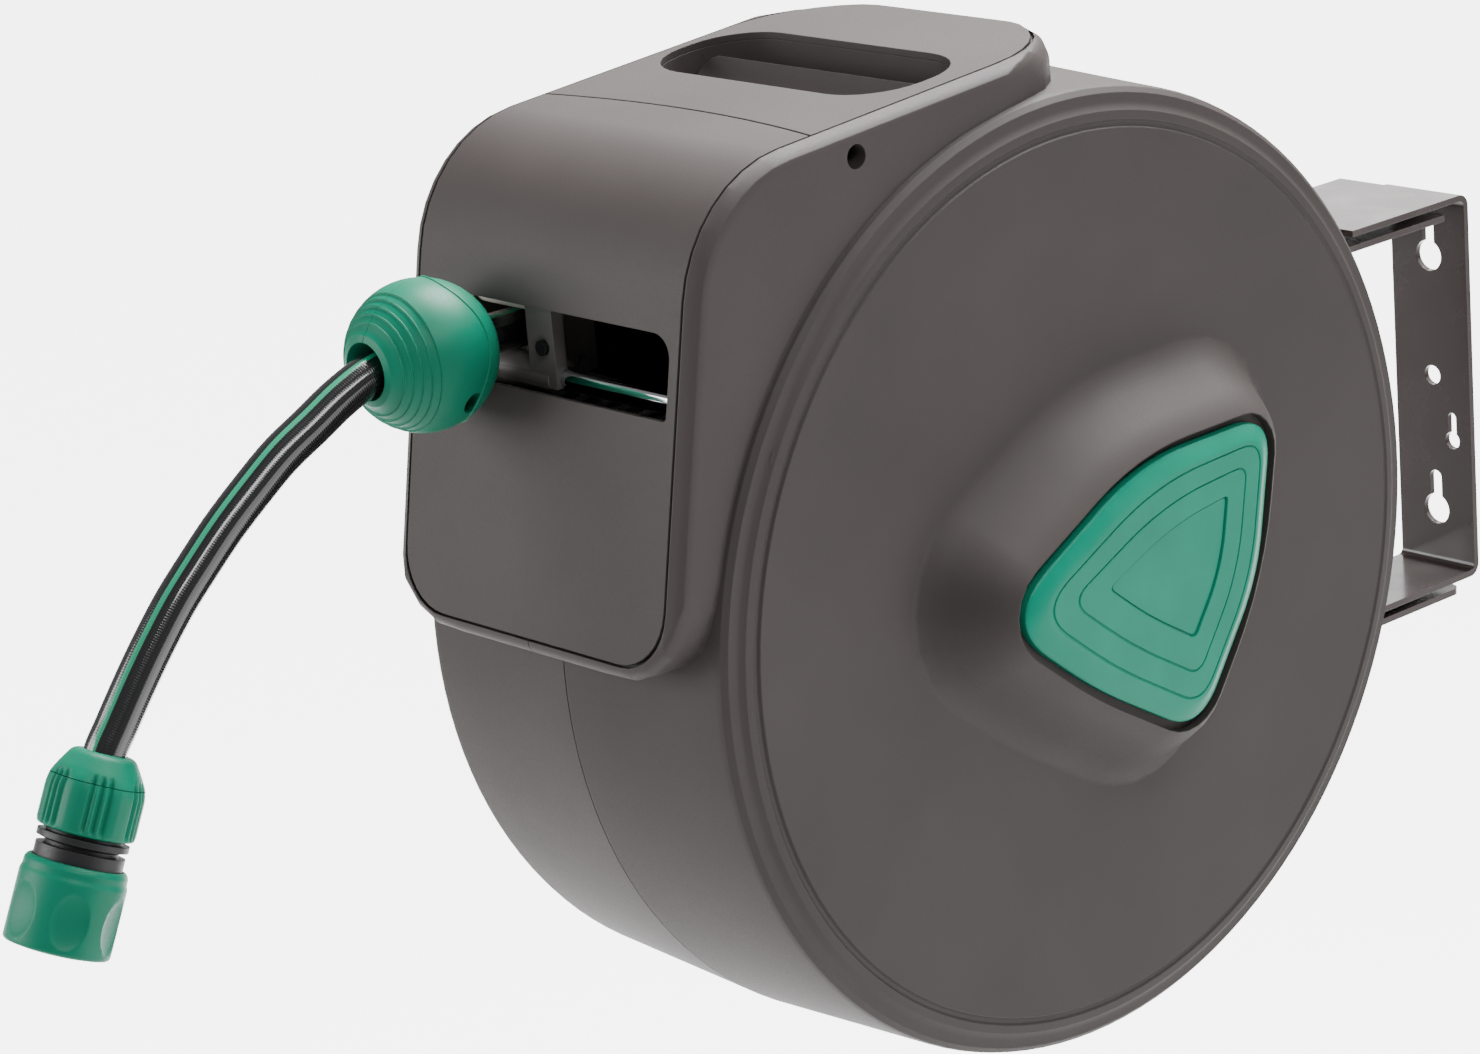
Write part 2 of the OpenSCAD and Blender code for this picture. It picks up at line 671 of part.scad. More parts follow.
// Swivel pin with its head on the upper arm, and the clip under the lower yoke plate
module pivot_pin() color(steel) translate([0, pivot_y, 0]) difference() {
    union() {
        translate([0, 0, yoke_bottom - plate_t - 8])
            cylinder(h = arm_top - yoke_bottom + plate_t + 8, r = pin_r);
        translate([0, 0, arm_top]) cylinder(h = 3, r = pin_r + 2.5);
    }
    translate([0, 0, yoke_bottom - plate_t - 0.3 - clip_t]) difference() {
        cylinder(h = clip_t, r = pin_r + 1);
        translate([0, 0, -1]) cylinder(h = clip_t + 2, r = pin_r - 1);
    }
}

module pin_clip() color(steel)
    translate([0, pivot_y, yoke_bottom - plate_t - 0.3 - clip_t]) difference() {
        cylinder(h = clip_t, r = pin_r + 4);
        translate([0, 0, -1]) cylinder(h = clip_t + 2, r = pin_r - 1 + fit);
        translate([-pin_r * 0.7, 0, -1]) cube([pin_r * 1.4, pin_r + 5, clip_t + 2]);
    }

// Plain washers that fill the gap between each arm and the yoke plate under it
module pivot_washer(z0, z1) translate([0, pivot_y, z0]) difference() {
    cylinder(h = z1 - z0, r = pin_r + 7);
    translate([0, 0, -1]) cylinder(h = z1 - z0 + 2, r = pin_r + run_gap);
}
module pivot_washers() color(gear_white) {
    pivot_washer(yoke_top + 0.3, arm_top - plate_t);
    pivot_washer(yoke_bottom + 0.3, arm_bottom);
}

// Axle and what is fixed on it
module axle() color(steel) difference() {
    rod_x(-axle_left, axle_right, axle_r);
    rod_x(-axle_left - 1, spout_x + 6, bore_r);
    translate([spout_x, 0, 0]) cylinder(h = 2 * axle_r, r = 4, center = true);
}

module axle_collar() color(steel)
    ring_x(hub_end_right + thrust_gap, hub_end_right + thrust_gap + collar_w, axle_r + fit, axle_r + 6);

module inlet_nipple() color(brass) difference() {
    union() {
        rod_x(-axle_left, -axle_left + 12, bore_r - fit);
        translate([-axle_left - 8, 0, 0]) rotate([0, 90, 0]) cylinder(h = 8, r = inlet_d / 2 + 5, $fn = 6);
        rod_x(-axle_left - 24, -axle_left - 7, inlet_d / 2);
    }
    rod_x(-axle_left - 25, -axle_left + 13, bore_r - 2.5);
}

module spring_arbor() color(steel)
    ring_x(web_t / 2 + spring_gap / 2, flange_in - 8, axle_r + fit, arbor_r);

// Drum
module drum_core() color(drum_black) difference() {
    union() {
        ring_x(-flange_in, flange_in, core_r - core_wall, core_r);
        ring_x(-web_t / 2, web_t / 2, hub_in_r, core_r - core_wall + 1);
        ring_x(-hub_end_left, web_t / 2, hub_in_r, hub_r);
    }
    translate([spout_x, 0, 0]) cylinder(h = far, r = 7 + fit);
}

module water_spout() color(brass) translate([spout_x, 0, 0]) difference() {
    translate([0, 0, hub_in_r + 0.5]) cylinder(h = core_r - hub_in_r - 1, r = 7);
    cylinder(h = far, r = 4.5);
    rod_x(-20, 20, hub_in_r + 0.6);
}

module flange_disc(side) {
    rim = flange_r - 6;
    mirror([side < 0 ? 1 : 0, 0, 0])
        revolve_x([[hub_r + fit, flange_in], [rim, flange_in], [flange_r, flange_in + 1.5],
                   [flange_r, flange_out + 2], [rim, flange_out + 2], [rim, flange_out],
                   [hub_r + fit, flange_out]]);
}
module flange_windows() for (i = [0:5]) rotate([60 * i, 0, 0])
    rod_x(-far, far, 19, [0, (core_r + flange_r) / 2]);

module drum_flange_left() color(drum_black) difference() {
    flange_disc(-1);
    flange_windows();
}
module drum_flange_right() color(drum_black) {
    difference() {
        flange_disc(1);
        flange_windows();
    }
    ring_x(flange_in, hub_end_right, hub_in_r, gear_seat_r);
}

module hub_bushes() color(gear_white) {
    ring_x(-hub_end_left, -hub_end_left + 18, axle_r + run_gap, hub_in_r - fit);
    ring_x(-14, web_t / 2, axle_r + run_gap, hub_in_r - fit);
    ring_x(flange_in, hub_end_right, axle_r + run_gap, hub_in_r - fit);
}

module axle_seals() color(hose_black) for (x = [-0.5, 0.5])
    translate([spout_x + x * seal_pitch, 0, 0]) rotate([0, 90, 0]) rotate_extrude()
        translate([(axle_r + hub_in_r) / 2, 0]) circle(r = (hub_in_r - axle_r) / 2 - 0.06, $fn = 32);

// Mainspring: flat strip wound in a spiral from the arbor to the drum's wall
function spiral(r0, r1, turns) =
    [for (i = [0:turns * 24])
        let (a = i * 15, r = r0 + (r1 - r0) * i / (turns * 24))
        [r * cos(a), r * sin(a)]];
module mainspring() color(steel) {
    outer = core_r - core_wall - 0.6;
    inner = arbor_r + 0.6;
    path = spiral(inner, outer - spring_t, spring_turns);
    back = spiral(inner + spring_t, outer, spring_turns);
    along_x(web_t / 2 + spring_gap, flange_in - 10)
        polygon(concat(path, [for (i = [len(back) - 1:-1:0]) back[i]]));
}

module spring_cover() color(steel)
    ring_x(flange_in - 6, flange_in - 4, hub_in_r + 1, core_r - core_wall - fit);

// Ratchet wheel and pawl
pawl_turn = 215;
pawl_reach = ratchet_r + 18;
pawl_at = pawl_reach * [cos(pawl_turn), sin(pawl_turn)];
pawl_pin_r = 4;
module ratchet_wheel() color(steel) along_x(-flange_out - ratchet_w + 1, -flange_out) difference() {
    polygon([for (i = [0:ratchet_teeth - 1]) let (a = i * 360 / ratchet_teeth) each
        [ratchet_r * [cos(a), sin(a)],
         (ratchet_r - ratchet_depth) * [cos(a + 4), sin(a + 4)]]]);
    circle(r = hub_r + fit);
}
module pawl() color(steel) rotate([pawl_turn, 0, 0]) difference() {
    union() {
        rod_x(-flange_out - 6.5, -flange_out - 2.5, 8, [pawl_reach, 0]);
        along_x(-flange_out - 6.5, -flange_out - 2.5)
            polygon([[pawl_reach - 6, -2], [pawl_reach + 6, 4], [ratchet_r + 2, 22], [ratchet_r + 0.5, 17]]);
    }
    rod_x(-flange_out - 7, -flange_out - 2, pawl_pin_r + run_gap, [pawl_reach, 0]);
}
module pawl_pin() color(steel) {
    rod_x(-face_in_x, -flange_out - 0.8, pawl_pin_r, pawl_at);
    rod_x(-flange_out - 9.7, -flange_out - 6.8, pawl_pin_r + 2, pawl_at);
}

// Involute gears, with a tooth centred at the given phase
function involute(rb, a) = rb * [cos(a) + a * PI / 180 * sin(a), sin(a) - a * PI / 180 * cos(a)];
function inv_angle(rb, r) = let (t = sqrt(max(0, r * r / rb / rb - 1))) t * 180 / PI - atan(t);
function gear_points(teeth, phase) =
    let (pr = gear_m * teeth / 2, rb = pr * cos(20), tip = pr + 0.9 * gear_m, root = pr - 1.2 * gear_m,
         half = 90 / teeth - backlash / pr * 90 / PI + inv_angle(rb, pr), low = max(rb, root + 0.3),
         radii = [for (i = [0:4]) low + (tip - low) * i / 4])
    [for (k = [0:teeth - 1]) let (mid = phase + 360 * k / teeth) each concat(
        [root * [cos(mid - half), sin(mid - half)]],
        [for (r = radii) let (a = mid - half + inv_angle(rb, r)) r * [cos(a), sin(a)]],
        [for (i = [4:-1:0]) let (r = radii[i], a = mid + half - inv_angle(rb, r)) r * [cos(a), sin(a)]],
        [root * [cos(mid + half), sin(mid + half)]])];
module gear(teeth, phase, bore) along_x(gear_x, gear_end) difference() {
    polygon(gear_points(teeth, phase));
    circle(r = bore);
}
module drum_gear() color(gear_white) gear(drum_teeth, to_idler, gear_seat_r + fit);
module idler_gear() color(gear_white) translate([0, idler_at.x, idler_at.y]) {
    difference() {
        gear(idler_teeth, idler_phase, idler_pin_r + run_gap);
        for (i = [0:4]) rotate([72 * i, 0, 0])
            rod_x(gear_x - 1, gear_end + 1, idler_pr / 4.5, [0, idler_pr * 0.55]);
    }
}
module screw_gear() color(gear_white)
    translate([0, screw_y, screw_z]) gear(screw_teeth, screw_phase, screw_shaft_r + fit);
module idler_pin() color(steel) {
    rod_x(gear_x - 0.5, face_in_x, idler_pin_r, idler_at);
    rod_x(gear_x - 3, gear_x - 0.5, idler_pin_r + 3, idler_at);
}

// Lead screw: shaft ends and a helical groove that moves the guide one hose pitch a drum turn
follower_turn = 180 + screw_dir;
module lead_screw() color(steel) translate([0, screw_y, screw_z]) {
    rod_x(-face_in_x + 0.5, -thread_l / 2, screw_shaft_r);
    rod_x(thread_l / 2, face_in_x - 0.5, screw_shaft_r);
    turns = thread_l / screw_pitch;
    start = (guide_x + thread_l / 2) / screw_pitch * 360;
    half = groove_share / 2;
    translate([-thread_l / 2, 0, 0]) rotate([90, 0, 90]) rotate(follower_turn + start)
        linear_extrude(thread_l, twist = turns * 360, slices = ceil(turns * 10), $fn = 10)
        polygon(concat([for (a = [half:30:360 - half]) screw_r * [cos(a), sin(a)]],
                       [for (a = [-half + 25:50:half - 25]) screw_root_r * [cos(a), sin(a)]]));
}

// Guide rod and the hose guide that runs on it
module guide_rod() color(steel) rod_x(-block_in_x + 0.5, block_in_x - 0.5, rod_d / 2, [rod_y, rod_z]);

roller_top_at = [rod_y, hose_z + hose_r + roller_gap + roller_r];
roller_bottom_at = [rod_y + 17, hose_z - hose_r - roller_gap - roller_r];
cheek_t = 4;
post_front = rod_y - 7;
post_t = 6;
cheek_rear = roller_bottom_at.x + 8;
guide_low = rod_z - 3;
guide_top = roller_top_at.y + roller_r + 0.8;
roller_pin_r = 2.5;
module hose_guide() color(guide_grey) difference() {
    translate([guide_x, 0, 0]) difference() {
        union() {
            for (side = [0, 1]) mirror([side, 0, 0]) {
                translate([post_in, post_front, guide_low])
                    cube([guide_half - post_in, post_t, guide_top - guide_low]);
                translate([post_in, post_front, guide_low])
                    cube([cheek_t, cheek_rear - post_front, guide_top - guide_low]);
            }
            translate([-guide_half, post_front, guide_top - eps]) cube([2 * guide_half, post_t, 5]);
            rod_x(-guide_half + 5, guide_half - 5, bush_r, [rod_y, rod_z]);
            translate([0, rod_y, rod_z]) rotate([screw_dir - 90, 0, 0])
                cylinder(h = screw_step - screw_r - 0.6, r = 5.5);
        }
        rod_x(-guide_half - 1, guide_half + 1, rod_d / 2 + run_gap, [rod_y, rod_z]);
        for (p = [roller_top_at, roller_bottom_at])
            rod_x(-post_in - cheek_t - 1, post_in + cheek_t + 1, roller_pin_r + fit, p);
        translate([0, rod_y, rod_z]) rotate([screw_dir - 90, 0, 0])
            cylinder(h = screw_step, r = follower_r + fit);
        for (side = [-1, 1])
            translate([side * (post_in + 10), post_front - 1, hose_z - 3]) rotate([-90, 0, 0])
            cylinder(h = post_t + 2, r = screw_shank_r + fit);
    }
}

module screw_follower() color(steel) translate([guide_x, rod_y, rod_z]) rotate([screw_dir - 90, 0, 0])
    translate([0, 0, bush_r + 1]) cylinder(h = screw_step - screw_root_r - 0.6 - bush_r - 1, r = follower_r);

module guide_screws() color(drum_black) for (side = [-1, 1])
    translate([guide_x + side * (post_in + 10), post_front, hose_z - 3]) rotate([-90, 0, 0]) {
        cylinder(h = post_t, r = screw_shank_r);
        translate([0, 0, -2]) cylinder(h = 2, r = 3.2);
    }

module guide_roller(at) color(gear_white) translate([guide_x, 0, 0]) difference() {
    rod_x(-post_in + 0.3, post_in - 0.3, roller_r, at);
    rod_x(-post_in - 1, post_in + 1, roller_pin_r + run_gap, at);
}
module guide_roller_top() guide_roller(roller_top_at);
module guide_roller_bottom() guide_roller(roller_bottom_at);
module roller_pins() color(steel) translate([guide_x, 0, 0])
    for (p = [roller_top_at, roller_bottom_at]) rod_x(-post_in - cheek_t, post_in + cheek_t, roller_pin_r, p);

// Hose: a plain core of inner layers, the outer layer as one tube, the lead to the guide, the free end
module hose_pack() color(hose_black)
    ring_x(-flange_in + 0.2, flange_in - 0.2, core_r + fit,
           (winding_r - hose_r) * cos(180 / loop_rings) - 0.3);

// Ring of a tube: sides points of radius r about p, square to the direction d, in the frame of side u
function tube_ring(p, d, u, r, sides) =
    let (w = cross(unit(d), u))
    [for (i = [0:sides - 1]) let (a = 360 * i / sides) p + r * (cos(a) * u + sin(a) * w)];

// Outer layer: from the lead, back over the drum, towards the right flange
loop_rings = 24;
winding_run = hose_d;
function winding_at(a) = [guide_x + hose_pitch * a / 360, winding_r * sin(a), winding_r * cos(a)];
function winding_dir(a) = [hose_pitch / (2 * PI), winding_r * cos(a), -winding_r * sin(a)];
function winding_out(a) = [0, sin(a), cos(a)];
module hose_winding() color(hose_black) {
    last = outer_turns * 360;
    count = ceil(outer_turns * loop_rings);
    start = winding_at(0) - [0, winding_run, 0];
    finish = winding_at(last) + unit(winding_dir(last)) * winding_run;
    turns = [for (i = [0:count]) let (a = last * i / count)
        tube_ring(winding_at(a), winding_dir(a), winding_out(a), hose_r, 8)];
    loft(concat([tube_ring(start, [0, 1, 0], [0, 0, 1], hose_r, 8)], turns,
                [tube_ring(finish, winding_dir(last), winding_out(last), hose_r, 8)]));
    gaps = [for (i = [0:count - loop_rings])
        norm(winding_at(last * i / count + 360) - winding_at(last * i / count))];
    echo("least gap between turns of the winding, mm", min(gaps) - hose_d);
}

module hose_lead() color(hose_black) translate([guide_x, -winding_run, hose_z]) rotate([90, 0, 0])
    cylinder(h = -lead_end - winding_run, r = hose_r);

// Free hose: one tube along its route, square to the route at every point
free_points = concat([for (p = hose_route) [guide_x, p.x, p.y + hose_z - 133]],
                     [connector_point(hose_stop / 2), connector_point(hose_stop)]);
function connector_point(s) = connector_at + s * [0, -cos(connector_droop), -sin(connector_droop)];
module hose_free() color(hose_black) {
    k = len(free_points);
    loft([for (i = [0:k - 1])
        let (a = free_points[max(0, i - 1)], b = free_points[min(k - 1, i + 1)],
             d = i == 0 ? [0, -1, 0] : b - a)
        tube_ring(free_points[i], d, [1, 0, 0], hose_r, 12)]);
}

// Stop ball: two clamp halves about the hose, with rings on the front dome
function ball_profile() = concat(
    [[hose_r + 0.1, -sqrt(ball_r * ball_r - 225)]],
    [for (a = [-60:6:18]) ball_r * [cos(a), sin(a)]],
    [for (i = [0:4]) let (a = 24 + 7 * i) each
        [ball_r * [cos(a), sin(a)], (ball_r - 0.7) * [cos(a + 0.6), sin(a + 0.6)],
         (ball_r - 0.7) * [cos(a + 6.4), sin(a + 6.4)]]],
    [ball_r * [cos(62), sin(62)], [ball_mouth_r, ball_r * sin(62) + 1],
     [hose_r + 0.4, ball_r * sin(62) - 12], [hose_r + 0.1, ball_r * sin(62) - 14]]);
module ball_half(side) color(reel_green) difference() {
    translate(ball_at + [side * 0.1, 0, 0]) rotate([90, 0, 0]) rotate([0, 0, -90 * side])
        rotate_extrude(angle = 180) polygon(ball_profile());
    for (s = [-1, 1]) translate([guide_x, 0, 0]) mirror([s > 0 ? 1 : 0, 0, 0]) {
        rod_x(-14, 14, screw_shank_r + 0.1, ball_screw_at(s));
        rod_x(10, 40, screw_head_r, ball_screw_at(s));
    }
}
module stop_ball_left() ball_half(-1);
module stop_ball_right() ball_half(1);
module ball_screws() color(steel) for (s = [-1, 1]) translate([guide_x, 0, 0]) mirror([s > 0 ? 1 : 0, 0, 0]) {
    rod_x(-12, 10.5, screw_shank_r, ball_screw_at(s));
    rod_x(10, 13, screw_head_r - 0.4, ball_screw_at(s));
}

// Hose connector, drawn along its own axis from the top of the clamp nut
module on_connector() translate(connector_at) rotate([90 + connector_droop, 0, 0]) children();

module connector_nut() color(reel_green) on_connector() difference() {
    rotate_extrude() polygon([[hose_r + 0.3, 0], [hose_r + 3, 0], [hose_r + 4.5, 1.5], [nut_r - 2.5, 12],
                              [nut_r, 16], [nut_r, nut_l - 2], [nut_r - 1, nut_l],
                              [nut_r - 4, nut_l], [nut_r - 4, hose_stop], [hose_r + 0.3, hose_stop]]);
    for (i = [0:5], j = [-1:1]) rotate(60 * i + 12 * j) translate([nut_r + 0.2, 0, 8])
        cylinder(h = nut_l, r = 1.3, $fn = 24);
}

module connector_body() color(drum_black) on_connector() difference() {
    rotate_extrude() polygon([[0, hose_stop + 0.2], [nut_r - 4.1, hose_stop + 0.2], [nut_r - 4.1, nut_l + 1],
                              [nut_r - 1, nut_l + 1], [nut_r - 1, nut_l + 3.5], [nut_r - 4.5, nut_l + 4.5],
                              [nut_r - 4.5, nut_l + 6], [collar_r, nut_l + 6], [collar_r, spring_z0],
                              [stem_r, spring_z0], [stem_r, connector_l - 1], [0, connector_l - 1]]);
    translate([0, 0, connector_l - 1 - socket_depth]) cylinder(h = far, r = socket_r);
    translate([0, 0, hose_stop]) cylinder(h = far, r = 5);
    translate([0, 0, connector_l - socket_depth + 4]) difference() {
        cylinder(h = 3, r = socket_r + 2);
        translate([0, 0, -1]) cylinder(h = 5, r = socket_r - 0.5);
    }
}

module connector_seal() color(hose_black) on_connector()
    translate([0, 0, connector_l - socket_depth + 5.5]) rotate_extrude()
        translate([socket_r + 1.02, 0]) circle(r = 0.95, $fn = 24);

// Spring that pushes the sleeve back after it is pulled
module connector_spring() color(steel) on_connector() {
    coils = 4;
    mid = (stem_r + sleeve_bore_r) / 2;
    z0 = spring_z0 + spring_wire + 0.1;
    rise = spring_z1 - spring_z0 - 2 * spring_wire - 0.2;
    count = coils * 12;
    loft([for (i = [0:count]) let (a = 30 * i)
        tube_ring([mid * cos(a), mid * sin(a), z0 + rise * i / count], [-sin(a), cos(a), 0],
                  [cos(a), sin(a), 0], spring_wire, 6)]);
}

module connector_sleeve() color(reel_green) on_connector() difference() {
    rotate_extrude() polygon([[sleeve_bore_r, sleeve_top], [sleeve_r - 2, sleeve_top],
                              [sleeve_r - 0.7, sleeve_top + 1.5], [sleeve_r - 0.7, sleeve_top + 4],
                              [sleeve_r, sleeve_top + 6], [sleeve_r, connector_l - 2],
                              [sleeve_r - 1.5, connector_l], [stem_r + 0.3, connector_l],
                              [stem_r + 0.3, spring_z1], [sleeve_bore_r, spring_z1]]);
    for (i = [0:5]) rotate(60 * i + 30) translate([sleeve_r + 7, 0, sleeve_top + sleeve_l * 0.62])
        rotate([90, 0, 0]) cylinder(h = 14, r = 9.2, center = true);
}

place() {
    wall_bracket();
    pivot_pin();
    pivot_washers();
    pin_clip();
    swivel_yoke();
    yoke_screws();
    casing_left();
    casing_right();
    casing_screws();
    front_panel();
    top_panel();
    handle_tub();
    hub_cover();
    axle();
    axle_collar();
    inlet_nipple();
    spring_arbor();
    guide_rod();
    idler_pin();
    pawl_pin();
    pawl();
    drum_core();
    drum_flange_left();
    drum_flange_right();
    hub_bushes();
    axle_seals();
    water_spout();
    mainspring();
    spring_cover();
    ratchet_wheel();
    drum_gear();
    idler_gear();
    screw_gear();
    lead_screw();
    hose_pack();
    hose_winding();
    hose_lead();
    hose_guide();
    screw_follower();
    guide_screws();
    guide_roller_top();
    guide_roller_bottom();
    roller_pins();
    stop_ball_left();
    stop_ball_right();
    ball_screws();
    hose_free();
    connector_nut();
    connector_body();
    connector_seal();
    connector_spring();
    connector_sleeve();
}
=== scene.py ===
"""Visual model of the wall mounted hose reel: its finishes, its hose and the moulded green parts."""
import json
import logging
import math
from dataclasses import dataclass, field
from enum import Enum
from typing import Any

import bpy
import numpy as np
from mathutils import Matrix


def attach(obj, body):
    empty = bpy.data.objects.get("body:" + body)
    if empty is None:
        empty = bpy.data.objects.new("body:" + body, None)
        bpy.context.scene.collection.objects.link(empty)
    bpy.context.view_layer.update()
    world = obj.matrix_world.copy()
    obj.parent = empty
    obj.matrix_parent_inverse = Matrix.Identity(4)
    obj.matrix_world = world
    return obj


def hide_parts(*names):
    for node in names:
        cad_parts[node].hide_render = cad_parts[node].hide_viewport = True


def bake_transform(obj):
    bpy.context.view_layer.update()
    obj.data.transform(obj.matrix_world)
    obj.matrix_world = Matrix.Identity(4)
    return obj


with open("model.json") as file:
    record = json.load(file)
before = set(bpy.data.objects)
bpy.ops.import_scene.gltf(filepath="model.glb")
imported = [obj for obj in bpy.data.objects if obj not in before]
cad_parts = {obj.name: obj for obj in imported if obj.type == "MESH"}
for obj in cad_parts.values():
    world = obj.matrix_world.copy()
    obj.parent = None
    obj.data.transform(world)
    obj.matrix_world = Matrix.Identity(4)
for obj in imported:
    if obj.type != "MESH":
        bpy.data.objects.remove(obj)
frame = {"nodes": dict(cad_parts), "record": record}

Array = np.ndarray
Pair = tuple[float, float]
Point = tuple[float, float, float]
Piece = bpy.types.Object
Material = bpy.types.Material
Tree = bpy.types.NodeTree
Node = bpy.types.Node
Socket = bpy.types.NodeSocket
Inputs = dict[str | int, Any]
LOG = logging.getLogger("hose_reel")
MM = 0.001
# Centre of the drum in the part's frame, in mm: the CAD draws the reel about this point.
DRUM_CENTRE = np.array([0.0, -341.0, 9.5])
# Direction of the drum's axis.
ACROSS = np.array([1.0, 0.0, 0.0])
# Most values of a noise texture lie between these two.
NOISE_LOW, NOISE_HIGH = 0.3, 0.7
# Sockets of a colour mix, by number: the node has sockets of the same name for other data.
MIX_SHARE, MIX_FROM, MIX_TO, MIX_RESULT = 0, 6, 7, 2
EDGE_SAMPLES = 4
# Differences below which CAD triangles lie in one plane or share a point: a slope, then metres.
SAME_TILT, SAME_OFFSET, SAME_POINT = 0.003, 2e-5, 2e-6
# Least area and length to divide by.
LEAST_AREA, LEAST_LENGTH = 1e-15, 1e-20
# Places on an outline nearer than this count as one, in mm.
SAME_PLACE = 1e-4
HOSE_UV = "hose"


@dataclass(frozen=True)
class HoseSizes:
    """Sizes that the hose, its connector and its stop ball share, in mm about the drum's centre."""

    guide_x: float = -40.0
    layer_r: float = 133.0
    hose_r: float = 8.5
    nut_top: Pair = (-404.0, 17.0)
    droop_deg: float = 64.75
    seat: float = 15.0


SIZES = HoseSizes()


def to_part(points: Array) -> Array:
    """Turns points in mm about the drum's centre into metres in the part's frame."""
    return (np.asarray(points, float) + DRUM_CENTRE) * MM


def unit(vectors: Array) -> Array:
    """Gives vectors, along the last axis, the length 1."""
    return vectors / np.linalg.norm(vectors, axis=-1, keepdims=True)


def angles(count: int) -> Array:
    """Gives evenly spaced angles of one turn, without the one that closes it."""
    return np.linspace(0, math.tau, count, endpoint=False)


def gone_along(path: Array) -> Array:
    """Gives for each point of a path the length of the path up to it."""
    return np.concatenate([[0], np.cumsum(np.linalg.norm(np.diff(path, axis=0), axis=1))])


def ramp(values: Array, start: float, run: float) -> Array:
    """Rises evenly from 0 at start to 1 at start plus run."""
    return np.clip((values - start) / run, 0, 1)


def linear(code: str) -> tuple[float, float, float, float]:
    """Turns an sRGB hex colour into linear RGBA.

    Args:
        code: Colour as "#rrggbb".

    Returns:
        Red, green and blue by the sRGB curve, and an alpha of 1.
    """
    srgb = np.array([int(code[i:i + 2], 16) for i in (1, 3, 5)]) / 255
    flat = np.where(srgb <= 0.04045, srgb / 12.92, ((srgb + 0.055) / 1.055) ** 2.4)
    return (*flat.tolist(), 1.0)


def set_inputs(tree: Tree, node: Node, inputs: Inputs) -> None:
    """Sets or links the inputs of a node.

    Args:
        tree: Node tree that holds the node.
        node: Node whose inputs are set.
        inputs: For each input socket a constant, or the output socket that it is linked to.
    """
    for name, value in inputs.items():
        if isinstance(value, Socket):
            tree.links.new(value, node.inputs[name])
        else:
            node.inputs[name].default_value = value


def add_node(tree: Tree, kind: str, inputs: Inputs, **settings: Any) -> Node:
    """Adds one shader node with its settings and its links.

    Args:
        tree: Node tree that gets the node.
        kind: Type name of the node, without its first word, ShaderNode.
        inputs: For each input socket a constant, or the output socket that it is linked to.
        settings: Attributes to set on the node.

    Returns:
        The new node.
    """
    made = tree.nodes.new("ShaderNode" + kind)
    for name, value in settings.items():
        setattr(made, name, value)
    set_inputs(tree, made, inputs)
    return made


class Slot(Enum):
    """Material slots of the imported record."""

    CASING = "casing_plastic"
    BRACKET = "bracket_paint"
    GREEN = "green_plastic"
    GUIDE = "guide_plastic"
    BLACK = "black_plastic"
    ACETAL = "gear_plastic"
    STEEL = "steel"
    CHROME = "chrome"
    BRASS = "brass"
    HOSE = "hose_rubber"
    SEAL = "seal_rubber"


@dataclass(frozen=True)
class Finish:
    """What every finish has: its name, main colour and gloss."""

    name: str
    colour: str
    roughness: float

    def looks(self, tree: Tree) -> Inputs:
        """Adds the nodes of this finish and gives the inputs of its Principled shader."""
        raise NotImplementedError

    def material(self) -> Material:
        """Makes the material of this finish.

        Returns:
            The material.
        """
        made = bpy.data.materials.new(self.name)
        made.use_nodes = True
        made.diffuse_color = linear(self.colour)
        tree = made.node_tree
        set_inputs(tree, tree.nodes["Principled BSDF"], self.looks(tree))
        return made

    def painted_edge_highlight(self, tree: Tree, edge_mm: float, turns: Pair, most: float) -> tuple[Socket, Socket]:
        """Rounds the edges in the shading and finds where a paler highlight is painted on them.

        The painted highlight grows as the dot product of the rounded normal and the face's own falls.

        Args:
            tree: Node tree of the material.
            edge_mm: Radius of the rounded edges.
            turns: Dot products at which the painted highlight begins and is full.
            most: Share of the highlight colour where the painted highlight is full.

        Returns:
            The rounded normal and the share of the painted highlight colour.
        """
        rounded = add_node(tree, "Bevel", {"Radius": edge_mm * MM}, samples=EDGE_SAMPLES).outputs["Normal"]
        face = add_node(tree, "NewGeometry", {}).outputs["Normal"]
        turn = add_node(tree, "VectorMath", {0: rounded, 1: face}, operation="DOT_PRODUCT")
        highlight_share = add_node(tree, "MapRange", {
            "Value": turn.outputs["Value"], "From Min": turns[0], "From Max": turns[1], "To Max": most})
        return rounded, highlight_share.outputs["Result"]


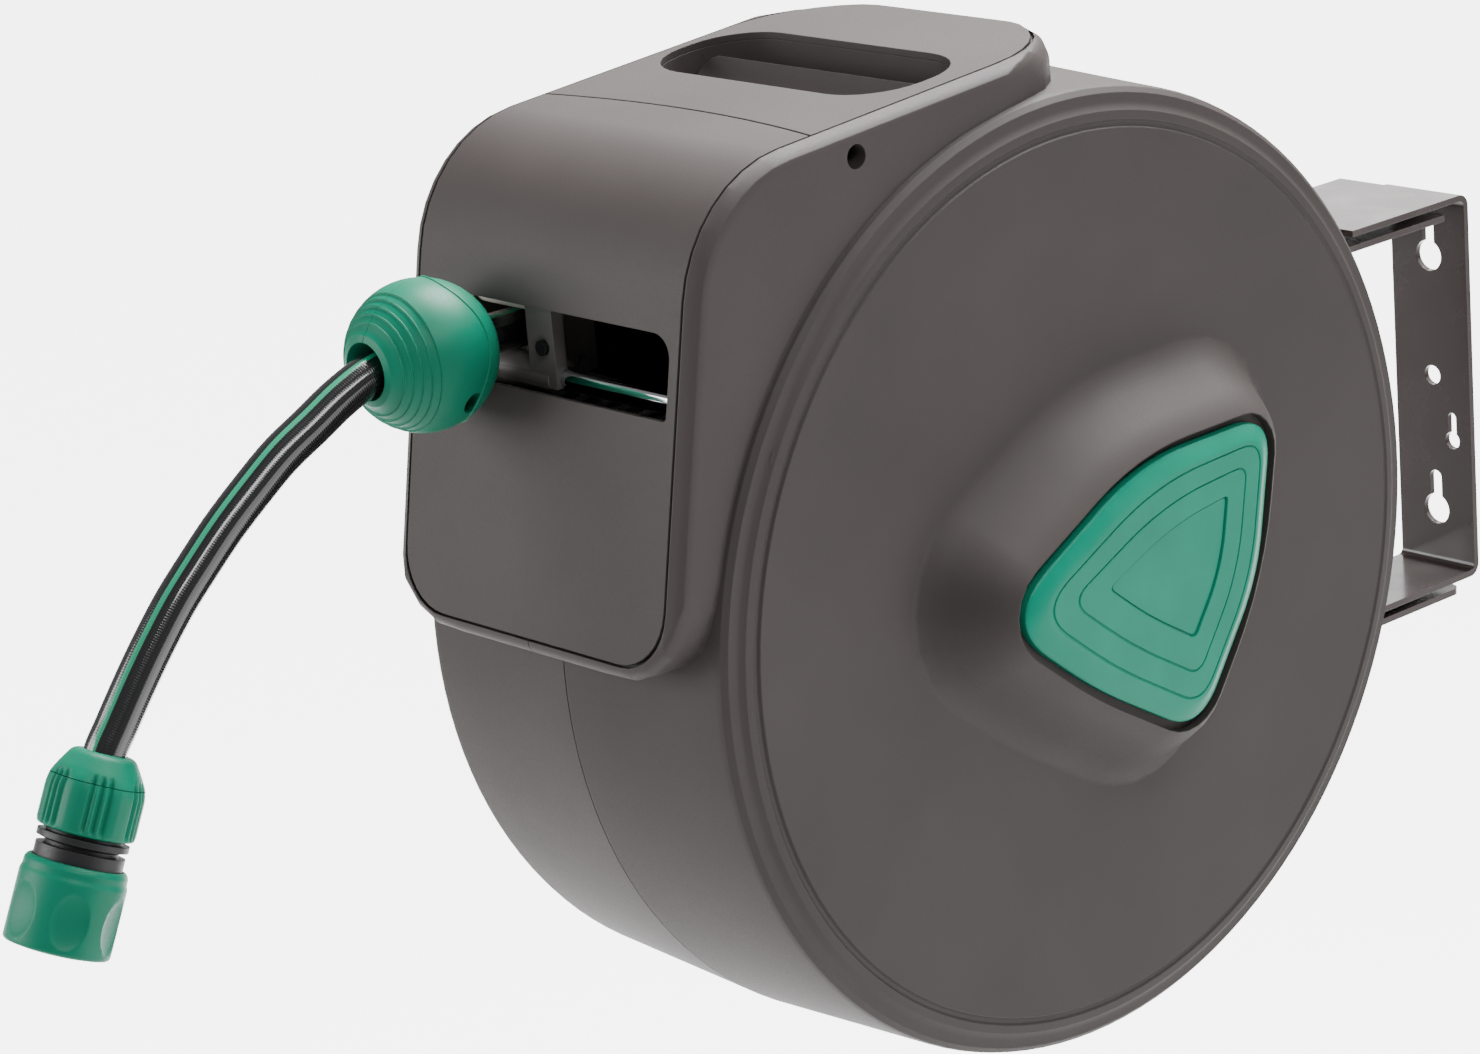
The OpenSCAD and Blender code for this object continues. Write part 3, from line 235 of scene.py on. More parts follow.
@dataclass(frozen=True)
class MouldedPlastic(Finish):
    """Injection moulded plastic: spark-eroded grain, cloudy tone and a painted highlight on the edges.

    The grain breaks the highlight into a soft sheen, the tone keeps wide faces from looking flat,
    and the edges are rounded in the shading and painted a little paler, as a painted highlight.
    """

    # pale is the colour of the highlight painted on the edges.
    pale: str
    dark: str
    grain_mm: float
    grain_depth_mm: float
    cloud_mm: float
    edge_mm: float
    ior: float
    gleam: float = 0.5
    rough_spread: float = 0.06
    bump: float = 0.5
    highlight_turns: Pair = (0.995, 0.8)
    highlight_most: float = 0.4

    def looks(self, tree: Tree) -> Inputs:
        """Adds the nodes: cloud noise mixes the tones, grain noise drives bump and gloss.

        Args:
            tree: Node tree of the material.

        Returns:
            The inputs of the Principled shader.
        """
        place = add_node(tree, "TexCoord", {}).outputs["Object"]
        cloud = add_node(tree, "TexNoise", {
            "Vector": place, "Scale": 1 / (self.cloud_mm * MM), "Detail": 4.0})
        spread = add_node(tree, "MapRange", {
            "Value": cloud.outputs["Fac"], "From Min": NOISE_LOW, "From Max": NOISE_HIGH})
        tone = add_node(tree, "Mix", {
            MIX_SHARE: spread.outputs["Result"], MIX_FROM: linear(self.dark),
            MIX_TO: linear(self.colour)}, data_type="RGBA")
        grain = add_node(tree, "TexNoise", {
            "Vector": place, "Scale": 1 / (self.grain_mm * MM), "Detail": 2.0}).outputs["Fac"]
        normal, highlight_share = self.painted_edge_highlight(tree, self.edge_mm, self.highlight_turns, self.highlight_most)
        # Painted highlight: the edges are mixed towards the pale colour.
        edge = add_node(tree, "Mix", {
            MIX_SHARE: highlight_share, MIX_FROM: tone.outputs[MIX_RESULT], MIX_TO: linear(self.pale)},
            data_type="RGBA")
        gloss = add_node(tree, "MapRange", {
            "Value": grain, "From Min": NOISE_LOW, "From Max": NOISE_HIGH,
            "To Min": self.roughness - self.rough_spread, "To Max": self.roughness + self.rough_spread})
        bump = add_node(tree, "Bump", {
            "Height": grain, "Strength": self.bump, "Distance": self.grain_depth_mm * MM, "Normal": normal})
        return {"Base Color": edge.outputs[MIX_RESULT], "Roughness": gloss.outputs["Result"],
                "Normal": bump.outputs["Normal"], "IOR": self.ior, "Specular IOR Level": self.gleam}


@dataclass(frozen=True)
class PowderCoat(Finish):
    """Gloss powder coat on steel: a slow orange peel under a clear gloss, with a painted highlight on the
    edges.
    """

    # pale is the colour of the highlight painted on the edges.
    pale: str
    peel_mm: float
    peel_depth_mm: float
    dust_mm: float
    edge_mm: float
    dust_high: float = 0.75
    dust_rough: float = 0.15
    bump: float = 0.4
    highlight_turns: Pair = (0.99, 0.75)
    highlight_most: float = 0.5
    ior: float = 1.52
    coat: float = 0.4
    coat_roughness: float = 0.12

    def looks(self, tree: Tree) -> Inputs:
        """Adds the nodes: peel noise drives the bump, slow dust noise the gloss.

        Args:
            tree: Node tree of the material.

        Returns:
            The inputs of the Principled shader.
        """
        place = add_node(tree, "TexCoord", {}).outputs["Object"]
        peel = add_node(tree, "TexNoise", {
            "Vector": place, "Scale": 1 / (self.peel_mm * MM), "Detail": 1.0})
        dust = add_node(tree, "TexNoise", {
            "Vector": place, "Scale": 1 / (self.dust_mm * MM), "Detail": 6.0})
        normal, highlight_share = self.painted_edge_highlight(tree, self.edge_mm, self.highlight_turns, self.highlight_most)
        # Painted highlight: the edges are mixed towards the pale colour.
        tone = add_node(tree, "Mix", {
            MIX_SHARE: highlight_share, MIX_FROM: linear(self.colour), MIX_TO: linear(self.pale)}, data_type="RGBA")
        gloss = add_node(tree, "MapRange", {
            "Value": dust.outputs["Fac"], "From Min": NOISE_LOW, "From Max": self.dust_high,
            "To Min": self.roughness, "To Max": self.roughness + self.dust_rough})
        bump = add_node(tree, "Bump", {
            "Height": peel.outputs["Fac"], "Strength": self.bump, "Distance": self.peel_depth_mm * MM,
            "Normal": normal})
        return {"Base Color": tone.outputs[MIX_RESULT], "Roughness": gloss.outputs["Result"],
                "Normal": bump.outputs["Normal"], "IOR": self.ior, "Coat Weight": self.coat,
                "Coat Roughness": self.coat_roughness}


@dataclass(frozen=True)
class DrawnMetal(Finish):
    """Bare or plated metal with drawn lines along one axis, which stretch the highlight."""

    line_mm: float
    along: Point
    depth_mm: float
    edge_mm: float = 0.3
    rough_span: Pair = (0.8, 1.3)
    bump: float = 0.3

    def looks(self, tree: Tree) -> Inputs:
        """Adds the nodes: noise squeezed across the lines drives gloss and bump.

        Args:
            tree: Node tree of the material.

        Returns:
            The inputs of the Principled shader.
        """
        place = add_node(tree, "TexCoord", {}).outputs["Object"]
        squeeze = add_node(tree, "Mapping", {"Vector": place, "Scale": self.along})
        lines = add_node(tree, "TexNoise", {
            "Vector": squeeze.outputs["Vector"], "Scale": 1 / (self.line_mm * MM), "Detail": 3.0})
        least, most = (self.roughness * share for share in self.rough_span)
        gloss = add_node(tree, "MapRange", {
            "Value": lines.outputs["Fac"], "From Min": NOISE_LOW, "From Max": NOISE_HIGH,
            "To Min": least, "To Max": most})
        rounded = add_node(tree, "Bevel", {"Radius": self.edge_mm * MM}, samples=EDGE_SAMPLES)
        bump = add_node(tree, "Bump", {
            "Height": lines.outputs["Fac"], "Strength": self.bump, "Distance": self.depth_mm * MM,
            "Normal": rounded.outputs["Normal"]})
        return {"Base Color": linear(self.colour), "Roughness": gloss.outputs["Result"],
                "Normal": bump.outputs["Normal"], "Metallic": 1.0}


@dataclass(frozen=True)
class HosePvc(Finish):
    """Soft PVC over a knitted yarn: small stitches in the gloss, and one printed stripe.

    The stitches break the edge of a highlight into small teeth, as in the photograph.
    """

    stripe: str
    stripe_deg: float
    stripe_mm: float
    hose_mm: float
    knit_mm: float
    knit_depth_mm: float
    stripe_blur: float = 0.12
    valley_rough: float = 0.1
    crest_rough: float = -0.05
    bump: float = 0.5
    ior: float = 1.54
    coat: float = 0.8
    coat_roughness: float = 0.08

    def looks(self, tree: Tree) -> Inputs:
        """Adds the nodes, which read the UV map: U once around the hose, V in metres along it.

        Stitches are the product of two sines on crossing diagonals. The stripe is where U is
        nearer to the stripe's place than half the stripe's width.

        Args:
            tree: Node tree of the material.

        Returns:
            The inputs of the Principled shader.
        """
        around = math.pi * self.hose_mm
        half = self.stripe_mm / 2 / around
        slant = math.tau * round(around / self.knit_mm) / 2
        uv = add_node(tree, "UVMap", {}, uv_map=HOSE_UV).outputs["UV"]
        parts = add_node(tree, "SeparateXYZ", {"Vector": uv}).outputs
        along = add_node(tree, "Math", {0: parts["Y"], 1: math.tau / (self.knit_mm * MM)},
                         operation="MULTIPLY")
        diagonals = [add_node(tree, "Math", {0: parts["X"], 1: way * slant, 2: along.outputs[0]},
                              operation="MULTIPLY_ADD") for way in (1, -1)]
        waves = [add_node(tree, "Math", {0: diagonal.outputs[0]}, operation="SINE").outputs[0]
                 for diagonal in diagonals]
        knit = add_node(tree, "Math", {0: waves[0], 1: waves[1]}, operation="MULTIPLY").outputs[0]
        off = add_node(tree, "Math", {0: parts["X"], 1: self.stripe_deg / 360}, operation="SUBTRACT")
        far = add_node(tree, "Math", {0: off.outputs[0]}, operation="ABSOLUTE")
        mark = add_node(tree, "MapRange", {
            "Value": far.outputs[0], "From Min": half * (1 + self.stripe_blur),
            "From Max": half * (1 - self.stripe_blur)})
        tone = add_node(tree, "Mix", {
            MIX_SHARE: mark.outputs["Result"], MIX_FROM: linear(self.colour),
            MIX_TO: linear(self.stripe)}, data_type="RGBA")
        gloss = add_node(tree, "MapRange", {
            "Value": knit, "From Min": -1.0, "To Min": self.roughness + self.valley_rough,
            "To Max": self.roughness + self.crest_rough})
        bump = add_node(tree, "Bump", {
            "Height": knit, "Strength": self.bump, "Distance": self.knit_depth_mm * MM})
        return {"Base Color": tone.outputs[MIX_RESULT], "Roughness": gloss.outputs["Result"],
                "Normal": bump.outputs["Normal"], "IOR": self.ior, "Coat Weight": self.coat,
                "Coat Roughness": self.coat_roughness}


# The grain of the plastics and the lines of the metals are drawn coarser than real ones, which are
# too fine to show. Above each finish stands what it gives the eye.
FINISHES: dict[Slot, Finish] = {
    # Filled polypropylene from a grained mould: a dull grey with a wide, weak sheen.
    Slot.CASING: MouldedPlastic(
        "polypropylene_moulded_grey", "#413b39", 0.6, pale="#615957", dark="#3b3534", grain_mm=0.7,
        grain_depth_mm=0.03, cloud_mm=70.0, edge_mm=0.7, ior=1.49, gleam=0.35),
    # Powder coated steel: a near black gloss that mirrors the room in slow waves.
    Slot.BRACKET: PowderCoat(
        "powder_coat_black", "#3a2f2d", 0.18, pale="#665b58", peel_mm=2.2, peel_depth_mm=0.03,
        dust_mm=26.4, edge_mm=0.6),
    # Unfilled polypropylene: a clear, full green with a soft highlight.
    Slot.GREEN: MouldedPlastic(
        "polypropylene_moulded_green", "#00785c", 0.46, pale="#2ea584", dark="#006f54", grain_mm=0.9,
        grain_depth_mm=0.012, cloud_mm=25.0, edge_mm=0.5, ior=1.49, gleam=0.25),
    # Nylon: a mid grey, a little shinier than the casing.
    Slot.GUIDE: MouldedPlastic(
        "nylon_moulded_grey", "#7b7674", 0.45, pale="#9a9693", dark="#716c6a", grain_mm=0.8,
        grain_depth_mm=0.015, cloud_mm=30.0, edge_mm=0.5, ior=1.53),
    # Polypropylene with carbon black: deep black, with a painted grey highlight on its edges.
    Slot.BLACK: MouldedPlastic(
        "polypropylene_moulded_black", "#1c1c1e", 0.5, pale="#3d3d40", dark="#161618", grain_mm=0.8,
        grain_depth_mm=0.02, cloud_mm=40.0, edge_mm=0.5, ior=1.49),
    # Acetal: a waxy off-white.
    Slot.ACETAL: MouldedPlastic(
        "acetal_moulded_natural", "#dedbd0", 0.35, pale="#f0eee6", dark="#d3cfc2", grain_mm=0.9,
        grain_depth_mm=0.01, cloud_mm=30.0, edge_mm=0.3, ior=1.48),
    # Zinc on steel: a blurred, cool grey mirror.
    Slot.STEEL: DrawnMetal("steel_zinc_plated", "#b4b8ba", 0.32, line_mm=0.6, along=(0.15, 1.0, 1.0),
                           depth_mm=0.01),
    # Polished chrome: a sharp bright mirror.
    Slot.CHROME: DrawnMetal("steel_chromed_polished", "#d6d8da", 0.07, line_mm=0.8,
                            along=(0.1, 1.0, 1.0), depth_mm=0.004),
    # Turned brass: yellow, with rings from the tool.
    Slot.BRASS: DrawnMetal("brass_turned", "#b99b4d", 0.25, line_mm=0.5, along=(1.0, 1.0, 0.2),
                           depth_mm=0.01),
    # Soft PVC: wet looking black with a fine knit and a green stripe.
    Slot.HOSE: HosePvc(
        "pvc_hose_knitted_black", "#111113", 0.2, stripe="#168c68", stripe_deg=71.0, stripe_mm=2.3,
        hose_mm=2 * SIZES.hose_r, knit_mm=2.1, knit_depth_mm=0.05),
    # Nitrile rubber: a dull black without a clear highlight.
    Slot.SEAL: MouldedPlastic(
        "nitrile_rubber_black", "#151515", 0.6, pale="#2c2c2c", dark="#111111", grain_mm=0.6,
        grain_depth_mm=0.01, cloud_mm=20.0, edge_mm=0.2, ior=1.52),
}
# The badge is moulded in the same green, polished. Its colour is painted paler than that green:
# a painted reflection of the bright room on its polished face.
BADGE_GREEN_PAINTED_PALE = MouldedPlastic(
    "polypropylene_green_painted_reflection", "#068c70", 0.36, pale="#2fa486", dark="#058368", grain_mm=1.2,
    grain_depth_mm=0.006, cloud_mm=25.0, edge_mm=0.6, ior=1.49, gleam=0.2)


def soften(mesh: bpy.types.Mesh, limit_deg: float = 24.0) -> None:
    """Shades the facets of a CAD mesh as the curved faces that they stand for.

    The normal at a corner is the sum of the normals of the triangles that meet there and lie
    within the limit of its own, each times its angle there and the area of the flat face that it
    is part of, so wide flats stay flat. No point of the mesh is moved.

    Args:
        mesh: Mesh of triangles.
        limit_deg: Angle above which an edge stays sharp.
    """
    place = np.empty(len(mesh.vertices) * 3, np.float32)
    mesh.vertices.foreach_get("co", place)
    order = np.empty(len(mesh.loops), np.int32)
    mesh.loops.foreach_get("vertex_index", order)
    tri = place.reshape(-1, 3)[order].reshape(-1, 3, 3).astype(float)
    square = np.cross(tri[:, 1] - tri[:, 0], tri[:, 2] - tri[:, 0])
    area = np.linalg.norm(square, axis=1)
    flat = square / np.maximum(area, LEAST_AREA)[:, None]
    offset = np.einsum("ij,ij->i", flat, tri[:, 0])
    plane = np.column_stack([flat / SAME_TILT, offset / SAME_OFFSET])
    group = np.unique(np.round(plane).astype(np.int64), axis=0, return_inverse=True)[1].ravel()
    ahead = np.roll(tri, -1, axis=1) - tri
    behind = np.roll(tri, 1, axis=1) - tri
    angle = np.arctan2(np.linalg.norm(np.cross(ahead, behind), axis=2), np.sum(ahead * behind, axis=2))
    weight = (np.bincount(group, weights=area)[group][:, None] * angle).ravel()
    spot = np.round(tri.reshape(-1, 3) / SAME_POINT).astype(np.int64)
    point = np.unique(spot, axis=0, return_inverse=True)[1].ravel()
    row = np.argsort(point, kind="stable")
    many = np.bincount(point)
    each = many[point[row]]
    first = np.concatenate([[0], np.cumsum(many)[:-1]])[point[row]]
    step = np.arange(each.sum()) - np.repeat(np.cumsum(each) - each, each)
    here, there = np.repeat(row, each), row[np.repeat(first, each) + step]
    likeness = np.einsum("ij,ij->i", flat[here // 3], flat[there // 3])
    near = likeness > math.cos(math.radians(limit_deg))
    pull = flat[there // 3] * (weight[there] * near)[:, None]
    total = np.column_stack([np.bincount(here, pull[:, k], len(order)) for k in range(3)])
    size = np.linalg.norm(total, axis=1, keepdims=True)
    mesh.polygons.foreach_set("use_smooth", np.ones(len(mesh.polygons), bool))
    mesh.normals_split_custom_set((total / np.maximum(size, LEAST_LENGTH)).tolist())


class Finisher:
    """Makes each finish once and puts it on pieces and CAD nodes."""

    def __init__(self) -> None:
        """Starts with no material made."""
        self.made: dict[Slot, Material] = {}

    def get(self, slot: Slot) -> Material:
        """Gives the material of a slot, made at its first use.

        Args:
            slot: Slot of the record.

        Returns:
            The slot's material.
        """
        if slot not in self.made:
            self.made[slot] = FINISHES[slot].material()
        return self.made[slot]

    def dress(self, piece: Piece, slot: Slot) -> None:
        """Puts the material of a slot on a new piece."""
        piece.data.materials.append(self.get(slot))

    def dress_nodes(self) -> None:
        """Puts on every CAD node the material that its record row names, and softens its facets."""
        slots = {row["node"]: Slot(row["material_slot"]) for row in frame["record"]["subparts"]}
        for name, piece in frame["nodes"].items():
            piece.data.materials.clear()
            piece.data.materials.append(self.get(slots[name]))
            soften(piece.data)


def add_object(name: str, data: bpy.types.ID) -> Piece:
    """Makes an object of a mesh, a lamp or a camera, and links it into the scene.

    Args:
        name: Name of the object.
        data: What the object shows.

    Returns:
        The object, at the origin.
    """
    made = bpy.data.objects.new(name, data)
    bpy.context.scene.collection.objects.link(made)
    return made


def grid_piece(name: str, points: Array, ring_uv: Array | None = None, along_uv: Array | None = None,
               closed: bool = True, sharp_deg: float = 35.0) -> Piece:
    """Makes a mesh of quads from a grid of points whose columns close into rings.

    The faces join row i to row i + 1. Where the piece isn't closed, each end is filled by
    triangles to the middle of its ring. A negative signed volume turns all the faces round.

    Args:
        name: Name of the piece.
        points: Rows, columns and the three coordinates, in metres.
        ring_uv: U for each column and the one that closes the ring, or None for no UV map.
        along_uv: V for each row and the one that closes the rows.
        closed: True if the last row joins the first.
        sharp_deg: Angle above which an edge is shown sharp.

    Returns:
        The object, linked into the scene.
    """
    rows, cols = points.shape[:2]
    verts = points.reshape(-1, 3)
    i, j = np.meshgrid(np.arange(rows if closed else rows - 1), np.arange(cols), indexing="ij")
    i1, j1 = (i + 1) % rows, (j + 1) % cols
    quads = np.stack([i * cols + j, i1 * cols + j, i1 * cols + j1, i * cols + j1], -1).reshape(-1, 4)
    faces = quads.tolist()
    halves = [quads[:, [0, 1, 2]], quads[:, [0, 2, 3]]]
    if not closed:
        verts = np.vstack([verts, points[0].mean(0), points[-1].mean(0)])
        turn = np.arange(cols)
        first = np.stack([turn, (turn + 1) % cols, np.full(cols, rows * cols)], -1)
        last = np.stack([(turn + 1) % cols, turn, np.full(cols, rows * cols + 1)], -1)
        last[:, :2] += (rows - 1) * cols
        faces += first.tolist() + last.tolist()
        halves += [first, last]
    a, b, c = (verts[np.vstack(halves)[:, k]] for k in range(3))
    inside_out = np.einsum("ij,ij->", a, np.cross(b, c)) < 0
    if inside_out:
        faces = [face[::-1] for face in faces]
    mesh = bpy.data.meshes.new(name)
    mesh.from_pydata(verts.tolist(), [], faces)
    if ring_uv is not None:
        u = np.stack([ring_uv[j], ring_uv[j], ring_uv[j + 1], ring_uv[j + 1]], -1)
        v = np.stack([along_uv[i], along_uv[i + 1], along_uv[i + 1], along_uv[i]], -1)
        pairs = np.stack([u, v], -1).reshape(-1, 4, 2)
        if inside_out:
            pairs = pairs[:, ::-1]
        whole = np.zeros((len(mesh.loops), 2), np.float32)
        whole[:pairs.shape[0] * 4] = pairs.reshape(-1, 2)
        mesh.uv_layers.new(name=HOSE_UV).data.foreach_set("uv", whole.ravel())
    mesh.polygons.foreach_set("use_smooth", np.ones(len(mesh.polygons), bool))
    mesh.set_sharp_from_angle(angle=math.radians(sharp_deg))
    mesh.update()
    return add_object(name, mesh)


def smooth_path(knots: Array, count: int) -> Array:
    """Passes one smooth curve through the knots.

    Cubic Hermite pieces over the summed chord length, with the slope at each knot from its
    neighbours.

    Args:
        knots: Points to pass through.
        count: How many points the curve gets, evenly spaced by chord length.

    Returns:
        The points of the curve.
    """
    chord = gone_along(knots)
    slope = np.gradient(knots, chord, axis=0)
    at = np.linspace(0, chord[-1], count)
    k = np.clip(np.searchsorted(chord, at, side="right") - 1, 0, len(knots) - 2)
    width = (chord[k + 1] - chord[k])[:, None]
    t = (at - chord[k])[:, None] / width
    return ((2 * t ** 3 - 3 * t ** 2 + 1) * knots[k] + (t ** 3 - 2 * t ** 2 + t) * width * slope[k]
            + (3 * t ** 2 - 2 * t ** 3) * knots[k + 1] + (t ** 3 - t ** 2) * width * slope[k + 1])


def rounded_loop(corners: Array, reach: Array, steps: int) -> Array:
    """Rounds the corners of a closed outline.

    Each corner becomes a parabola from the point reach before it to the point reach after it,
    with the corner as its control point.

    Args:
        corners: Corner points, in order.
        reach: For each corner, how far along its sides the rounding goes.
        steps: Points on each rounding.

    Returns:
        The outline's points.
    """
    low = corners + unit(np.roll(corners, 1, axis=0) - corners) * reach[:, None]
    high = corners + unit(np.roll(corners, -1, axis=0) - corners) * reach[:, None]
    t = np.linspace(0, 1, steps)[None, :, None]
    bend = (1 - t) ** 2 * low[:, None] + 2 * t * (1 - t) * corners[:, None] + t ** 2 * high[:, None]
    return bend.reshape(-1, 2)


def refine(loop: Array, step: float) -> Array:
    """Adds points to a closed outline and keeps its own.

    Args:
        loop: Points of the outline, in order.
        step: Distance that no two neighbours are further apart than.

    Returns:
        The outline's points, with the new ones.
    """
    ring = np.vstack([loop, loop[:1]])
    gone = gone_along(ring)
    places = np.union1d(gone, np.linspace(0, gone[-1], int(gone[-1] / step) + 1))[:-1]
    places = places[np.concatenate([[True], np.diff(places) > SAME_PLACE])]
    return np.stack([np.interp(places, gone, ring[:, k]) for k in (0, 1)], -1)


def rings_along(path: Array, side: Array, cross: Array, radius: float, sides: int) -> Array:
    """Sets a ring at each point of a path: the point plus radius times (side cos a + cross sin a).

    Args:
        path: Points of the path.
        side: For each point, the direction of angle 0.
        cross: For each point, the direction of a quarter turn.
        radius: Radius of the rings.
        sides: Points on a ring.

    Returns:
        Rings, their points and the three coordinates.
    """
    a = angles(sides)[None, :, None]
    return path[:, None] + radius * (side[:, None] * np.cos(a) + cross[:, None] * np.sin(a))


def hose_tube(name: str, path: Array, side: Array, bore: float, sides: int) -> Piece:
    """Carries a hollow ring along a path.

    The outer wall is a ring of the hose's radius at each point, with side made square to the path.
    The inner wall runs back along the same path with the bore's radius, so the surface closes on
    itself at both ends.

    Args:
        name: Name of the piece.
        path: Points of the path, in metres.
        side: Direction of angle 0, one for each point or one for all.
        bore: Inner radius in mm.
        sides: Points around the hose.

    Returns:
        The hose as an object with a UV map.
    """
    run = unit(np.gradient(path, axis=0))
    side = unit(side - run * np.sum(side * run, axis=1, keepdims=True))
    outer, inner = (rings_along(path, side, np.cross(run, side), radius * MM, sides)
                    for radius in (SIZES.hose_r, bore))
    gone = gone_along(path)
    along = np.concatenate([gone, gone[::-1], gone[:1]])
    return grid_piece(name, np.concatenate([outer, inner[::-1]]), np.linspace(0, 1, sides + 1), along)


@dataclass
class HoseLine:
    """The hose: free end, lead behind the guide, outer layer and inner layers on the drum.

    Fields that end in steps or sides say how finely a stretch is drawn.
    """

    bore_r: float = 5.8
    pitch: float = 17.5
    turns: float = 4.7
    straight: float = 17.0
    joint_gap: float = 0.3
    lead_end: float = -206.0
    core_r: float = 64.8
    half_width: float = 53.8
    scallop: float = 2.0
    layer_gap: float = 0.3
    cad_turn_steps: int = 24
    free_steps: int = 150
    free_sides: int = 40
    lead_steps: int = 24
    lead_sides: int = 32
    turn_steps: int = 64
    turn_sides: int = 24
    rib_steps: int = 121
    under_steps: int = 9
    drum_sides: int = 144
    ribs_v: float = 7.0
    route: tuple[Pair, ...] = (
        (-206, 133), (-222, 133), (-238, 133), (-248, 133), (-262, 131), (-276, 126), (-292, 118),
        (-308, 110), (-323, 100), (-338, 89), (-352, 77), (-364, 66), (-375, 54), (-385, 42),
        (-392, 33), (-398, 25), (-404, 17))
    pieces: list[Piece] = field(default_factory=list)

    def knots(self) -> Array:
        """Gives the route's points, with the last stretch inside the clamp nut.

        Returns:
            Points in metres in the part's frame.
        """
        droop = math.radians(SIZES.droop_deg)
        into_nut = np.array([[0.5], [1.0]]) * SIZES.seat * [-math.cos(droop), -math.sin(droop)]
        flat = np.vstack([np.array(self.route, float), into_nut + SIZES.nut_top])
        return to_part(np.column_stack([np.full(len(flat), SIZES.guide_x), flat]))

    def free_end(self) -> Piece:
        """Returns:
            The hose as an object.
        """
        path = smooth_path(self.knots(), self.free_steps)
        piece = hose_tube("hose_free_end", path, ACROSS, self.bore_r, self.free_sides)
        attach(piece, "guide")
        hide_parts("hose_free")
        return piece

    def lead(self) -> Piece:
        """Builds the straight hose from the drum to the guide.

        Returns:
            The hose as an object.
        """
        y = np.linspace(-self.straight - self.joint_gap, self.lead_end, self.lead_steps)
        path = to_part(np.column_stack([np.full_like(y, SIZES.guide_x), y, np.full_like(y, SIZES.layer_r)]))
        piece = hose_tube("hose_lead_run", path, ACROSS, self.bore_r, self.lead_sides)
        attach(piece, "guide")
        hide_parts("hose_lead")
        return piece

    def outer_layer(self) -> Piece:
        """Builds the outer layer: a helix about the drum with a straight run at each end.

        At angle a the hose is pitch times a over a turn along the axis, and layer_r out from it.

        Returns:
            The hose as an object.
        """
        a = np.linspace(0, math.tau * self.turns, int(self.turn_steps * self.turns))
        out = np.column_stack([np.zeros_like(a), np.sin(a), np.cos(a)])
        turn = SIZES.layer_r * out
        turn[:, 0] = SIZES.guide_x + self.pitch * a / math.tau
        end = turn[-1] + unit(turn[-1] - turn[-2]) * self.straight
        path = np.vstack([turn[0] - [0, self.straight, 0], turn, end])
        side = np.vstack([out[:1], out, out[-1:]])
        piece = hose_tube("hose_outer_layer", to_part(path), side, self.bore_r, self.turn_sides)
        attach(piece, "drum")
        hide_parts("hose_winding")
        return piece

    def inner_layers(self) -> Piece:
        """Builds the inner layers: a ring with a round rib for each turn of hose.

        The ring's outline is turned about the axis. It stays a gap under the flats of the CAD's
        outer layer, and between turns its radius is lower by the scallop times one minus the root
        of the rib's half circle.

        Returns:
            The ring as an object.
        """
        under_hose = SIZES.layer_r - SIZES.hose_r
        top = under_hose * math.cos(math.pi / self.cad_turn_steps) - self.layer_gap
        x = np.linspace(-self.half_width, self.half_width, self.rib_steps)
        rib = 2 * np.abs((x / self.pitch) % 1.0 - 0.5)
        ribs = np.column_stack([top - self.scallop * (1 - np.sqrt(1 - rib ** 2)), x])
        back = np.linspace(self.half_width, -self.half_width, self.under_steps)
        outline = np.vstack([ribs, np.column_stack([np.full_like(back, self.core_r), back])])
        a = angles(self.drum_sides)
        points = np.stack([np.broadcast_to(outline[:, 1, None], (len(outline), len(a))),
                           outline[:, :1] * np.sin(a), outline[:, :1] * np.cos(a)], -1)
        piece = grid_piece("hose_inner_layers", to_part(points),
                           np.linspace(0, math.tau * top * MM, self.drum_sides + 1),
                           np.linspace(0, self.ribs_v, len(outline) + 1))
        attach(piece, "drum")
        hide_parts("hose_pack")
        return piece

    def build(self, finisher: Finisher, carried: list[Piece]) -> None:
        """Builds and dresses all stretches of the hose.

        Args:
            finisher: What puts on the finishes.
            carried: New pieces that hang on the hose; not used.
        """
        self.pieces = [self.free_end(), self.lead(), self.outer_layer(), self.inner_layers()]
        for piece in self.pieces:
            finisher.dress(piece, Slot.HOSE)


